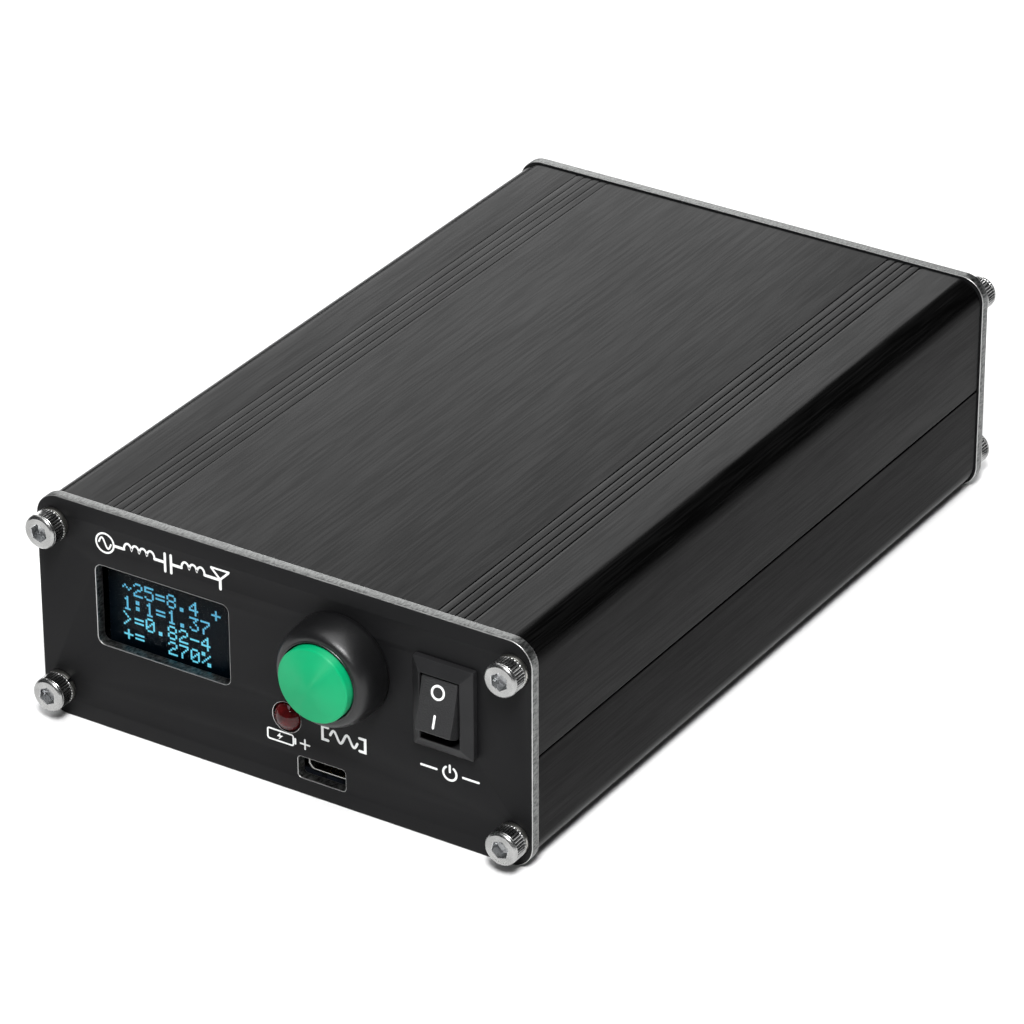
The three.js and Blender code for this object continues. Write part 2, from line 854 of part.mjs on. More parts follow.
// The paddle is drawn level, about its axle, and tilted by its group. Points are [z, y].
function buildRockerPaddle() {
  const top = -paddleTopAboveAxle;
  const half = paddleHalfLength;
  const hips = half + paddleHip;
  const knees = half - 2 * paddleHip;
  const outline = polygon([
    [-paddleFootHalfLength, paddleFootDepth],
    [paddleFootHalfLength, paddleFootDepth],
    [knees, paddleKneeDepth],
    [hips, top / 2],
    [half, top],
    [0, top + paddleDish],
    [-half, top],
    [-hips, top / 2],
    [-knees, paddleKneeDepth],
  ]);
  const axle = rodAlongX(axleRadius, paddleWidth + 2 * axleReach, 0);
  return alongX(outline, paddleWidth).add(axle);
}

function addRockerSwitch() {
  const group = new THREE.Group();
  group.position.set(rockerX, -faceY, rockerZ);
  tuner.add(group);
  place("rocker_housing", buildRockerHousing(), materials.blackPlastic, group);
  const hinge = new THREE.Group();
  hinge.position.y = axleBehindFace;
  hinge.rotation.x = -paddleTilt;
  group.add(hinge);
  place("rocker_paddle", buildRockerPaddle(), materials.blackPlastic, hinge);
  const terminalTip = -faceY + rockerBodyDepth + rockerTerminalLength;
  const route = [
    [rockerX, terminalTip + looseGap, rockerZ - rockerTerminalZ],
    [rockerX, terminalTip + 2.5, rockerZ - rockerTerminalZ - 1],
    [rockerX, boardFront + 2.5, (rockerZ + boardTop) / 2 - 1.5],
    [rockerX, boardFront + 2.5, boardTop + 1.5],
    [rockerX, boardFront + 2.5, boardTop + looseGap],
  ];
  place("switch_lead", tube(route, 0.9, 14), materials.redSleeve);
}

// ---------------------------------------------------------------- charging lamp, socket and board
function buildLamp() {
  const back = lampProud - lampLength;
  const flangeTop = back + lampFlangeThickness;
  const shoulder = lampProud - lampRadius;
  const dome = [];
  const steps = 5;
  for (let i = 0; i <= steps; i++) {
    const angle = (Math.PI / 2) * (i / steps);
    const radius = i === steps ? 0 : lampRadius * Math.cos(angle);
    dome.push([radius, shoulder + lampRadius * Math.sin(angle)]);
  }
  return turned(
    [
      [0, back],
      [lampFlangeRadius, back],
      [lampFlangeRadius, flangeTop],
      [lampRadius, flangeTop],
      ...dome,
    ],
  );
}

function chargeSocketOutline(inset) {
  const halfWidth = chargeSocketWidth / 2 - inset;
  const low = slotZ - chargeSocketHeight / 2 + inset;
  const high = slotZ + chargeSocketHeight / 2 - inset;
  return polygon([
    [slotX - halfWidth + chargeSocketBevel, low],
    [slotX + halfWidth - chargeSocketBevel, low],
    [slotX + halfWidth, low + chargeSocketBevel],
    [slotX + halfWidth, high],
    [slotX - halfWidth, high],
    [slotX - halfWidth, low + chargeSocketBevel],
  ]);
}

function addCharging() {
  const lamp = outwardFromFront(lampX, lampZ);
  place("charge_lamp", buildLamp(), materials.redLens, lamp);

  const socketFront = -plateInnerY + looseGap;
  const socketBack = socketFront + chargeSocketDepth;
  const shell = prism(chargeSocketOutline(0), socketFront, socketBack);
  const mouthBack = socketBack - chargeSocketBack;
  const mouth = prism(chargeSocketOutline(chargeSocketWall), socketFront - 1, mouthBack);
  place("charge_socket", shell.subtract(mouth), materials.nickel);
  const tongue = block(
    slotX - chargeTongueWidth / 2,
    slotX + chargeTongueWidth / 2,
    socketFront + chargeTongueSetBack,
    mouthBack - touchGap,
    slotZ + touchGap,
    slotZ + touchGap + chargeTongueThickness,
  );
  place("charge_socket_tongue", tongue, materials.blackPlastic);

  const boardLow = caseWall + touchGap;
  const boardHigh = boardLow + chargeBoardThickness;
  const left = slotX - chargeBoardWidth / 2;
  const right = slotX + chargeBoardWidth / 2;
  const back = socketFront + chargeBoardLength;
  const card = block(left, right, socketFront + 0.4, back, boardLow, boardHigh);
  const chip = block(slotX - 2.5, slotX + 2.5, back - 14, back - 9, boardHigh - 0.1, boardHigh + 1.4);
  const coil = block(left + 1.5, left + 6.5, back - 7, back - 2, boardHigh - 0.1, boardHigh + 2);
  const pads = block(right - 4, right - 1, back - 6, back - 2, boardHigh - 0.1, boardHigh + 1);
  place("charge_board", joined([card, chip, coil, pads]), materials.blackBoard);
}

// ---------------------------------------------------------------- main board
function buildMainBoard() {
  const halfWidth = cavityHalfWidth - looseGap;
  return block(-halfWidth, halfWidth, boardFront, boardBack, boardUnderside, boardTop);
}

// Relays in a row, standing on one strip.
function buildRelayBank(x, firstY, count) {
  const low = boardTop + touchGap;
  const left = x - relayWidth / 2;
  const right = x + relayWidth / 2;
  const length = (count - 1) * relayPitch + relayLength;
  const pieces = [block(left + 1, right - 1, firstY, firstY + length, low, low + relayBaseHeight)];
  for (let i = 0; i < count; i++) {
    const y = firstY + i * relayPitch;
    pieces.push(block(left, right, y, y + relayLength, low + relayBaseHeight / 2, low + relayHeight));
  }
  return joined(pieces);
}

// Box capacitors in a row, standing on one strip.
function buildCapacitorRow(x, firstY) {
  const low = boardTop + touchGap;
  const half = capacitorWidth / 2;
  const span = (capacitorCount - 1) * relayPitch + capacitorLength;
  const pieces = [block(x - half / 2, x + half / 2, firstY, firstY + span, low, low + 0.5)];
  for (let i = 0; i < capacitorCount; i++) {
    const y = firstY + i * relayPitch;
    pieces.push(block(x - half, x + half, y, y + capacitorLength, low + 0.3, low + capacitorHeight));
  }
  return joined(pieces);
}

function buildControllerChip(x, y) {
  const low = boardTop + touchGap;
  const half = chipWidth / 2;
  const pins = [];
  for (let i = 0; i < chipPinsPerSide; i++) {
    const pinY = y + (i - (chipPinsPerSide - 1) / 2) * chipPinPitch;
    const y0 = pinY - chipPinWidth / 2;
    const y1 = pinY + chipPinWidth / 2;
    pins.push(block(x - half - chipPinReach, x - half + touchGap, y0, y1, low, low + chipPinHeight));
    pins.push(block(x + half - touchGap, x + half + chipPinReach, y0, y1, low, low + chipPinHeight));
  }
  const bodyLow = low + chipStandOff;
  const halfLength = chipLength / 2;
  const body = block(x - half, x + half, y - halfLength, y + halfLength, bodyLow, bodyLow + chipHeight);
  return joined([body, ...pins]);
}

// A wound ring core standing on edge, its axis along Y.
function buildToroid() {
  const outer = toroidOuterRadius - toroidWire / 2;
  const inner = outer - toroidCoreDepth;
  const half = (toroidCoreWidth - toroidWire) / 2;
  const core = toSolid(
    turned(
      [
        [inner, -half],
        [outer, -half],
        [outer, half],
        [inner, half],
      ],
    ),
  );
  const turns = [];
  for (let i = 0; i < toroidTurns; i++) {
    const turn = new THREE.BoxGeometry(toroidCoreDepth + toroidWire, toroidCoreWidth, toroidWire);
    turn.translate((inner + outer) / 2, 0, 0);
    turn.rotateY((2 * Math.PI * (i + 0.5)) / (toroidTurns + 1));
    turns.push(toSolid(turn));
  }
  return joined([core, ...turns]);
}

function buildAirCoil(turnCount) {
  const points = [];
  const perTurn = 8;
  const pitch = 2.6 * airCoilWireRadius;
  const centre = airCoilRadius - airCoilWireRadius;
  for (let i = 0; i <= turnCount * perTurn; i++) {
    const angle = (2 * Math.PI * i) / perTurn - Math.PI / 2;
    const along = pitch * (i / perTurn - turnCount / 2);
    points.push([centre * Math.cos(angle), along, centre * Math.sin(angle)]);
  }
  return tube(points, airCoilWireRadius, turnCount * perTurn, 5);
}

function addInductors() {
  const lastToroidY = boardBack - lastToroidFromBoardBack;
  const firstToroidY = lastToroidY - (toroidCount - 1) * toroidPitch;
  for (let i = 0; i < toroidCount; i++) {
    const toroid = place(`toroid_inductor_${i + 1}`, buildToroid(), materials.ironPowder);
    toroid.position.set(0, firstToroidY + i * toroidPitch, boardTop + toroidOuterRadius + looseGap);
  }
  const firstCoilY = boardFront + firstCoilFromBoardFront;
  for (let i = 0; i < airCoilCount; i++) {
    const coil = place(`air_coil_inductor_${i + 1}`, buildAirCoil(3 + i), materials.copperWire);
    coil.position.set(airCoilX, firstCoilY + i * airCoilPitch, boardTop + airCoilRadius + looseGap);
  }
}

// A two-hole ferrite block, the coupler's transformer, near the radio's socket.
function buildCouplerTransformer(x, y) {
  const low = boardTop + touchGap;
  const halfWidth = couplerWidth / 2;
  const halfLength = couplerLength / 2;
  const core = block(x - halfWidth, x + halfWidth, y - halfLength, y + halfLength, low, low + couplerHeight);
  const bores = [-1, 1].map((side) => {
    const boreX = x + (side * halfWidth) / 2;
    return rod(couplerBoreRadius, boreX, low + couplerHeight / 2, y - halfLength - 1, y + halfLength + 1);
  });
  return without(core, bores);
}

function addMainBoard() {
  const relayY = boardFront + relaysFromBoardFront;
  const capacitorX = relayFromMiddle + relayWidth / 2 + capacitorWidth / 2 + 2.2;
  const inductorRelays = buildRelayBank(-relayFromMiddle, relayY, inductorRelayCount);
  const capacitorRelays = buildRelayBank(relayFromMiddle, relayY, capacitorRelayCount);
  const coupler = buildCouplerTransformer(-relayFromMiddle, boardBack - couplerFromBoardBack);
  const chip = buildControllerChip(chipX, boardFront + chipFromBoardFront);
  place("main_board", buildMainBoard(), materials.circuitBoard);
  place("inductor_relay_bank", inductorRelays, materials.relayPlastic);
  place("capacitor_relay_bank", capacitorRelays, materials.relayPlastic);
  place("tuning_capacitors", buildCapacitorRow(capacitorX, relayY + 2), materials.capacitorPlastic);
  place("controller_chip", chip, materials.blackPlastic);
  place("coupler_transformer", coupler, materials.ferrite);
  addInductors();
}

// ---------------------------------------------------------------- battery
function addBattery() {
  const high = caseHeight - caseWall - looseGap;
  const low = high - batteryThickness;
  const middle = (low + high) / 2;
  const outline = roundedRectangle(0, middle, batteryWidth, batteryThickness, batteryCornerRadius);
  const front = batteryBehindMiddle - batteryLength / 2;
  const pack = prism(outline, front, front + batteryLength, innerCornerSegments);
  place("battery_pack", pack, materials.batteryWrap);
  const start = front - looseGap;
  const route = [
    [-12, start, middle],
    [-12, start - 6, middle - 1],
    [-10, start - 16, low - 6],
    [-6, boardFront + 4, boardTop + 5],
    [-4, boardFront + 4, boardTop + 2],
    [-4, boardFront + 4, boardTop + looseGap],
  ];
  place("battery_lead", tube(route, 0.9, 18), materials.redSleeve);
}

// ---------------------------------------------------------------- coaxial sockets
// Profiles are [radius, height out of the rear face].
function buildSocketBody() {
  const inside = -plateThickness - touchGap;
  const chamfer = 0.6;
  return turned(
    [
      [socketBoreRadius, inside - socketFlangeThickness],
      [socketFlangeRadius, inside - socketFlangeThickness],
      [socketFlangeRadius, inside],
      [socketThreadRadius, inside],
      [socketThreadRadius, socketReach - chamfer],
      [socketThreadRadius - chamfer, socketReach],
      [socketBoreRadius, socketReach],
    ],
    roundSides,
  );
}

function buildSocketInsulator() {
  const back = -plateThickness - socketFlangeThickness - 1.5;
  const outer = socketBoreRadius - looseGap;
  const inner = contactRadius + looseGap;
  return turned(
    [
      [inner, back],
      [outer, back],
      [outer, insulatorReach],
      [inner, insulatorReach],
    ],
    roundSides,
  );
}

function buildSocketContact() {
  const tip = socketReach - 1;
  const back = -plateThickness - socketFlangeThickness - contactTail;
  return turned(
    [
      [0, back],
      [contactRadius - 1.2, back],
      [contactRadius - 1.2, -plateThickness - socketFlangeThickness - 2],
      [contactRadius, -plateThickness - socketFlangeThickness - 2],
      [contactRadius, tip],
      [contactBoreRadius, tip],
      [contactBoreRadius, tip - contactBoreDepth],
      [0, tip - contactBoreDepth],
    ],
  );
}

function buildSocketNut() {
  const outline = regularPolygon(6, socketNutAcrossFlats, 0, 0);
  const bore = rod(socketThreadRadius + slideGap, 0, 0, -1, socketNutThickness + 1, roundSides);
  return prism(outline, touchGap, touchGap + socketNutThickness).subtract(bore);
}

function addSockets() {
  const sockets = [
    ["rf_input", -1],
    ["rf_output", 1],
  ];
  const tail = faceY - plateThickness - socketFlangeThickness - contactTail;
  for (const [name, side] of sockets) {
    const x = side * socketFromMiddle;
    const group = outwardFromRear(x, socketZ);
    place(`${name}_socket`, buildSocketBody(), materials.nickel, group);
    place(`${name}_insulator`, buildSocketInsulator(), materials.whitePlastic, group);
    place(`${name}_contact`, buildSocketContact(), materials.gold, group);
    place(`${name}_nut`, buildSocketNut(), materials.nickel, group);
    const route = [
      [x, tail - 2 * looseGap, socketZ],
      [x, tail - 1.7, socketZ - 0.8],
      [x, tail - 2.2, (socketZ + boardTop) / 2],
      [x, tail - 1.6, boardTop + 1.5],
      [x, tail - 1.6, boardTop + looseGap],
    ];
    place(`${name}_lead`, tube(route, 0.8, 12), materials.cableSleeve);
  }
}

// ---------------------------------------------------------------- everything
place("top_shell", buildTopShell(), materials.blackAnodised);
place("bottom_shell", buildBottomShell(), materials.blackAnodised);
place("front_panel", buildFrontPanel(), materials.paintedPlate);
place("rear_panel", buildRearPanel(), materials.paintedPlate);
addFasteners();
addDisplay();
addPushButton();
addRockerSwitch();
addCharging();
addMainBoard();
addBattery();
addSockets();

export default tuner;
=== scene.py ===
import math

import bmesh
import bpy
from mathutils import Matrix, Vector
from mathutils.geometry import tessellate_polygon


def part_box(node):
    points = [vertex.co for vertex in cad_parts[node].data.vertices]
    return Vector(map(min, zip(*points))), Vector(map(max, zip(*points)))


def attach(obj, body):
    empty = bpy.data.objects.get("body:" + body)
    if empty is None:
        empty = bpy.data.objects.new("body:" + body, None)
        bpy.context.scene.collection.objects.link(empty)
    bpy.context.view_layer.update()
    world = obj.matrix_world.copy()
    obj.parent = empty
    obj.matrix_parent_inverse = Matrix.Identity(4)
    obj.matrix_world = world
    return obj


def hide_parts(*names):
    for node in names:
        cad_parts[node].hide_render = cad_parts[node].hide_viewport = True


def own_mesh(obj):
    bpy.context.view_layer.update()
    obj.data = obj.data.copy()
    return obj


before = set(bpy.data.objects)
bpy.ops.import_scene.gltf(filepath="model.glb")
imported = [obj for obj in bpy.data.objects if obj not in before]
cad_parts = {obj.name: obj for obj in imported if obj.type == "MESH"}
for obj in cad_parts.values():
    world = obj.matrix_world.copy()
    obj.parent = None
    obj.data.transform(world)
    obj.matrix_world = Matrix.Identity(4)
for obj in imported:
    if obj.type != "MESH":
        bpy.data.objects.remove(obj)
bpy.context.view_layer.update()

# Automatic antenna tuner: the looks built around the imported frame.
# Lengths in this script are millimetres until a mesh is made; the front faces -Y and +Z is up.
MM = 0.001
TAU = 2 * math.pi
scene = bpy.context.scene


def corners(node):
    """Lowest and highest corner of a CAD node, in millimetres."""
    low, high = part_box(node)
    return low / MM, high / MM


# ---- sizes
plate_low, plate_high = corners("front_panel")
top_low, top_high = corners("top_shell")
bottom_low, bottom_high = corners("bottom_shell")
FRONT_Y = plate_low.y
REAR_Y = corners("rear_panel")[1].y
PLATE = plate_high.y - plate_low.y
PLATE_W = plate_high.x - plate_low.x
PLATE_H = plate_high.z - plate_low.z
PLATE_Z = (plate_low.z + plate_high.z) / 2
PLATE_RADIUS = 4.0
CASE_HALF_W = top_high.x
CASE_H = top_high.z - bottom_low.z
CASE_HALF_L = top_high.y
CASE_RADIUS = 4.2
CASE_WALL = 1.7
CAVITY_HALF_W = CASE_HALF_W - CASE_WALL
SEAM_TOP = 18.225
SEAM_BOTTOM = bottom_high.z
TONGUE_LOW = top_low.z
TONGUE_OUT = CAVITY_HALF_W + 0.8
REBATE_OUT = CAVITY_HALF_W + 0.95
REBATE_FLOOR = 16.35
GROOVES = 5
GROOVE_PITCH = 1.48
GROOVE_MIDDLE = 29.6
ROW_PITCH = 2.72  # between the display's rows of characters
FIRST_ROW = 24.85  # foot of the top row's first line of dots
GROOVE_HALF = 0.12
GROOVE_DEPTH = 0.18
GROOVE_BEVEL = 0.28  # each groove has a shallow bevel on its outer side
GROOVE_BEVEL_DEPTH = 0.06
SCREW_X = 40.8
SCREW_INSET = 4.5
SCREW_HOLE = 1.8
BOSS_RADIUS = 3.4


# ---- outlines, as lists of (u, v)
STROKE_END_STEPS = 5


def arc(x, y, radius, start, end, steps):
    """Points on an arc, angles in degrees, both ends included."""
    turns = [math.radians(start + (end - start) * i / steps) for i in range(steps + 1)]
    return [(x + radius * math.cos(t), y + radius * math.sin(t)) for t in turns]


def circle(x, y, radius, steps=96):
    return arc(x, y, radius, 0, 360, steps)[:-1]


def rounded_rectangle(x, y, width, height, radius, steps=10):
    right, top = x + width / 2 - radius, y + height / 2 - radius
    left, low = x - width / 2 + radius, y - height / 2 + radius
    return (
        arc(right, low, radius, -90, 0, steps)
        + arc(right, top, radius, 0, 90, steps)
        + arc(left, top, radius, 90, 180, steps)
        + arc(left, low, radius, 180, 270, steps)
    )


def filleted(points, steps=4, closed=True):
    """Rounds the corners of a path of (u, v, radius); a radius of 0 keeps the corner."""
    made = []
    count = len(points)
    for i, (u, v, radius) in enumerate(points):
        if radius == 0 or (not closed and i in (0, count - 1)):
            made.append((u, v))
            continue
        here = Vector((u, v))
        before = Vector(points[i - 1][:2]) - here
        after = Vector(points[(i + 1) % count][:2]) - here
        half = before.angle(after) / 2
        reach = radius / math.tan(half)
        reach = min(reach, 0.45 * before.length, 0.45 * after.length)
        a = here + before.normalized() * reach
        b = here + after.normalized() * reach
        for k in range(steps + 1):
            t = k / steps
            p = a * (1 - t) ** 2 + here * 2 * t * (1 - t) + b * t**2
            made.append((p.x, p.y))
    return made


def area(points):
    pairs = zip(points, points[1:] + points[:1])
    return sum(a[0] * b[1] - b[0] * a[1] for a, b in pairs) / 2


def inset(points, distance):
    """Moves a closed outline to its left by a distance."""
    made = []
    count = len(points)
    for i, point in enumerate(points):
        here = Vector(point)
        before = (here - Vector(points[i - 1])).normalized()
        after = (Vector(points[(i + 1) % count]) - here).normalized()
        a = Vector((-before.y, before.x))
        b = Vector((-after.y, after.x))
        mitre = (a + b) / max(1 + a.dot(b), 0.3)
        made.append(tuple(here + mitre * distance))
    return made


def stroke(points, width, closed=False):
    """The outline, and any hole, of a line of some width through the points."""
    half = width / 2
    if closed:
        loop = points if area(points) > 0 else points[::-1]
        return inset(loop, -half), [inset(loop, half)]
    path = [Vector(p) for p in points]
    sides = {1: [], -1: []}
    for i, here in enumerate(path):
        before = (here - path[i - 1]).normalized() if i else None
        after = (path[i + 1] - here).normalized() if i + 1 < len(path) else None
        before = before or after
        after = after or before
        a = Vector((-before.y, before.x))
        b = Vector((-after.y, after.x))
        mitre = (a + b) / max(1 + a.dot(b), 0.3)
        for side in (1, -1):
            sides[side].append(tuple(here + mitre * half * side))
    first = math.degrees(math.atan2(*(path[1] - path[0]).yx))
    last = math.degrees(math.atan2(*(path[-1] - path[-2]).yx))
    end = arc(*path[-1], half, last - 90, last + 90, STROKE_END_STEPS)[1:-1]
    start = arc(*path[0], half, first + 90, first + 270, STROKE_END_STEPS)[1:-1]
    return sides[-1] + end + sides[1][::-1] + start, []


# ---- placing: (u, v, w) to the part's frame
def out_of_front(x=0.0, z=0.0):
    """u to the right, v up and w out of the front face."""
    return Matrix(((1, 0, 0, x), (0, 0, -1, FRONT_Y), (0, 1, 0, z), (0, 0, 0, 1)))


def out_of_rear(x=0.0, z=0.0):
    """u to the right as seen from the front, v up and w out of the rear face."""
    return Matrix(((1, 0, 0, x), (0, 0, 1, REAR_Y), (0, 1, 0, z), (0, 0, 0, 1)))


def along_case(z, up):
    """u across, v away from an outer face at height z, and w along the case."""
    return Matrix(((1, 0, 0, 0), (0, 0, 1, 0), (0, up, 0, z), (0, 0, 0, 1)))


# ---- shapes
class Shape:
    """Closed surfaces, in millimetres, with the number of a finish for each face."""

    def __init__(self, to=None):
        self.to = to or Matrix.Identity(4)
        self.points = []
        self.faces = []
        self.finishes = []

    def loft(self, rings, finish=0, caps=True, loop=False):
        """Quads between rings of equal length. finish is a number, or a function of a strip's number."""
        start = len(self.points)
        count = len(rings[0])
        for ring in rings:
            self.points.extend(self.to @ Vector(p) for p in ring)
        strips = len(rings) if loop else len(rings) - 1
        for i in range(strips):
            a = start + i * count
            b = start + (i + 1) % len(rings) * count
            for k in range(count):
                n = (k + 1) % count
                self.faces.append((a + k, a + n, b + n, b + k))
                self.finishes.append(finish(i) if callable(finish) else finish)
        if caps and not loop:
            last = start + (len(rings) - 1) * count
            for first, strip in ((start, 0), (last, strips - 1)):
                self.faces.append(tuple(range(first, first + count)))
                self.finishes.append(finish(strip) if callable(finish) else finish)
        return self

    def slab(self, outline, holes, low, high, edge=0.1, steps=3, face=0, side=0):
        """An outline with holes, drawn out from w = low to w = high, its edges rounded."""
        loops = [outline if area(outline) > 0 else outline[::-1]]
        loops += [hole if area(hole) < 0 else hole[::-1] for hole in holes]
        levels = []
        for i in range(steps + 1):
            t = math.pi / 2 * i / steps if steps else math.pi / 2
            levels.append((edge * (1 - math.sin(t)), edge * (1 - math.cos(t))))
        heights = [(d, low + rise) for d, rise in levels]
        heights += [(d, high - rise) for d, rise in levels[::-1]]
        for points in loops:
            rings = [[(u, v, w) for u, v in inset(points, d)] for d, w in heights]
            self.loft(rings, side, caps=False)
        for d, w in (heights[0], heights[-1]):
            flat = [[Vector((u, v, 0)) for u, v in inset(points, d)] for points in loops]
            start = len(self.points)
            self.points.extend(self.to @ Vector((p.x, p.y, w)) for ring in flat for p in ring)
            for triangle in tessellate_polygon(flat):
                self.faces.append(tuple(start + i for i in triangle))
                self.finishes.append(face)
        return self

    def turned(self, profile, steps=96, finish=0, closed=False, shape=None):
        """A profile of (radius, w) turned about the w axis. shape(angle, radius, w) may change the radius."""
        rings = []
        for radius, w in profile:
            ring = []
            for k in range(steps):
                angle = TAU * k / steps
                r = shape(angle, radius, w) if shape and radius else radius
                ring.append((r * math.cos(angle), r * math.sin(angle), w))
            rings.append(ring)
        return self.loft(rings, finish, caps=False, loop=closed)

    def box(self, u0, u1, v0, v1, w0, w1, edge=0.1, steps=2, finish=0):
        outline = rounded_rectangle(
            (u0 + u1) / 2, (v0 + v1) / 2, u1 - u0, v1 - v0, max(edge, 0.01), steps
        )
        return self.slab(outline, [], w0, w1, edge, steps, finish, finish)

    def wire(self, path, radius, sides):
        """A round wire along points, with flat ends."""
        spots = [Vector(p) for p in path]
        normal = (spots[1] - spots[0]).orthogonal().normalized()
        rings = []
        for i, here in enumerate(spots):
            ahead = spots[min(i + 1, len(spots) - 1)] - spots[max(i - 1, 0)]
            ahead.normalize()
            normal = (normal - ahead * normal.dot(ahead)).normalized()
            across = ahead.cross(normal)
            ring = []
            for k in range(sides):
                angle = TAU * k / sides
                ring.append(here + (normal * math.cos(angle) + across * math.sin(angle)) * radius)
            rings.append(ring)
        return self.loft(rings)

    def make(self, name, finishes, body="case", slot=None, replaces=(), sharp=32):
        mesh = bpy.data.meshes.new(name)
        mesh.from_pydata([p * MM for p in self.points], [], self.faces)
        for finish in finishes:
            mesh.materials.append(finish)
        mesh.polygons.foreach_set("material_index", self.finishes)
        edit = bmesh.new()
        edit.from_mesh(mesh)
        bmesh.ops.remove_doubles(edit, verts=edit.verts, dist=2e-7)
        bmesh.ops.dissolve_degenerate(edit, dist=1e-8, edges=edit.edges)
        bmesh.ops.recalc_face_normals(edit, faces=edit.faces)
        edit.to_mesh(mesh)
        edit.free()
        mesh.shade_smooth()
        mesh.set_sharp_from_angle(angle=math.radians(sharp))
        piece = bpy.data.objects.new(name, mesh)
        scene.collection.objects.link(piece)
        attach(piece, body)
        if replaces:
            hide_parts(*replaces)
        return piece

    def stand_in(self, name, node, finishes, slot, body="case", sharp=32):
        """Makes the piece that is shown in place of a CAD node."""
        return self.make(name, finishes, body, slot, [node], sharp)


# ---- materials
def linear(value):
    value /= 255
    return value / 12.92 if value <= 0.04045 else ((value + 0.055) / 1.055) ** 2.4


def colour(red, green, blue):
    return (linear(red), linear(green), linear(blue), 1.0)


class Finish:
    """A procedural material: one Principled shader fed by textures in the part's own frame."""

    def __init__(self, name, base, roughness, metallic=0.0, **sockets):
        self.material = bpy.data.materials.new(name)
        self.material.use_nodes = True
        self.tree = self.material.node_tree
        self.shader = self.tree.nodes["Principled BSDF"]
        self.base = base
        self.shader.inputs["Base Color"].default_value = base
        self.shader.inputs["Roughness"].default_value = roughness
        self.shader.inputs["Metallic"].default_value = metallic
        for socket, value in sockets.items():
            self.shader.inputs[socket.replace("_", " ")].default_value = value
        self.material.diffuse_color = base
        self.place = self.tree.nodes.new("ShaderNodeTexCoord").outputs["Object"]
        self.normal = None

    def node(self, kind, **values):
        made = self.tree.nodes.new(kind)
        for name, value in values.items():
            if name in made.inputs:
                made.inputs[name].default_value = value
            else:
                setattr(made, name, value)
        return made

    def link(self, a, b):
        self.tree.links.new(a, b)

    def noise(self, size, stretch=(1, 1, 1), detail=2.0, roughness=0.5):
        """Noise whose features are about size millimetres across, longer along a stretched axis."""
        scale = [1 / (size * MM * s) for s in stretch]
        mapping = self.node("ShaderNodeMapping")
        mapping.inputs["Scale"].default_value = scale
        self.link(self.place, mapping.inputs["Vector"])
        made = self.node("ShaderNodeTexNoise", Scale=1.0, Detail=detail, Roughness=roughness)
        self.link(mapping.outputs["Vector"], made.inputs["Vector"])
        return made.outputs["Fac"]

    def spread(self, value, low, high, start=0.3, end=0.7):
        """Maps a texture from start..end to low..high."""
        made = self.node("ShaderNodeMapRange")
        for socket, number in (
            ("From Min", start),
            ("From Max", end),
            ("To Min", low),
            ("To Max", high),
        ):
            made.inputs[socket].default_value = number
        self.link(value, made.inputs["Value"])
        return made.outputs["Result"]

    def tint(self, value, dark, light, start=0.3, end=0.7):
        """Colours the base between dark and light by a texture."""
        ramp = self.node("ShaderNodeValToRGB")
        ramp.color_ramp.elements[0].position = start
        ramp.color_ramp.elements[0].color = dark
        ramp.color_ramp.elements[1].position = end
        ramp.color_ramp.elements[1].color = light
        self.link(value, ramp.inputs["Fac"])
        self.link(ramp.outputs["Color"], self.shader.inputs["Base Color"])
        return self

    def shade(self, value, amount, start=0.3, end=0.7):
        """Lightens and darkens the base colour by a share."""
        dark = tuple(c * (1 - amount) for c in self.base[:3]) + (1.0,)
        light = tuple(min(1.0, c * (1 + amount)) for c in self.base[:3]) + (1.0,)
        return self.tint(value, dark, light, start, end)

    def gloss(self, value, low, high):
        self.link(self.spread(value, low, high), self.shader.inputs["Roughness"])
        return self

    def bump(self, value, depth):
        """Raises the surface by a texture, depth in millimetres."""
        made = self.node("ShaderNodeBump", Strength=1.0, Distance=depth * MM)
        self.link(value, made.inputs["Height"])
        if self.normal:
            self.link(self.normal, made.inputs["Normal"])
        self.normal = made.outputs["Normal"]
        self.link(self.normal, self.shader.inputs["Normal"])
        return self


def anodised_case():
    made = Finish("anodised_case", colour(8, 8, 8), 0.24, Specular_IOR_Level=0.03)
    lines = made.noise(0.3, (1, 45, 1), detail=2.0, roughness=0.6)
    fine = made.noise(0.12, (1, 110, 1), detail=1.0)
    broad = made.noise(9, (1, 3, 1), detail=2.0)
    made.tint(lines, colour(3, 3, 3), colour(14, 14, 14), 0.4, 0.78)
    made.gloss(broad, 0.22, 0.27)
    level = made.spread(lines, 0.025, 0.036, 0.36, 0.64)
    made.link(level, made.shader.inputs["Specular IOR Level"])
    made.bump(fine, 0.002)
    return made.material


def plate_face():
    made = Finish("plate_face", colour(20, 20, 21), 0.5, Specular_IOR_Level=0.1)
    grain = made.noise(0.09, detail=2.0)
    broad = made.noise(14, detail=2.0)
    made.shade(broad, 0.08).gloss(grain, 0.44, 0.56).bump(grain, 0.003)
    return made.material


def bare_edge():
    """Milled aluminium, mottled with short marks across the thickness of the plate."""
    made = Finish("bare_edge", colour(102, 103, 102), 0.42, 1.0)
    marks = made.noise(0.34, (1, 2.5, 1), detail=3.0, roughness=0.65)
    made.shade(marks, 0.6, 0.38, 0.62).gloss(marks, 0.32, 0.55).bump(marks, 0.03)
    return made.material


def satin_metal(name, base, roughness, depth=0.004, size=0.15):
    made = Finish(name, base, roughness, 1.0)
    fine = made.noise(size, detail=3.0)
    broad = made.noise(2.2, detail=2.0)
    made.shade(broad, 0.14).gloss(fine, roughness * 0.8, roughness * 1.25).bump(fine, depth)
    return made.material


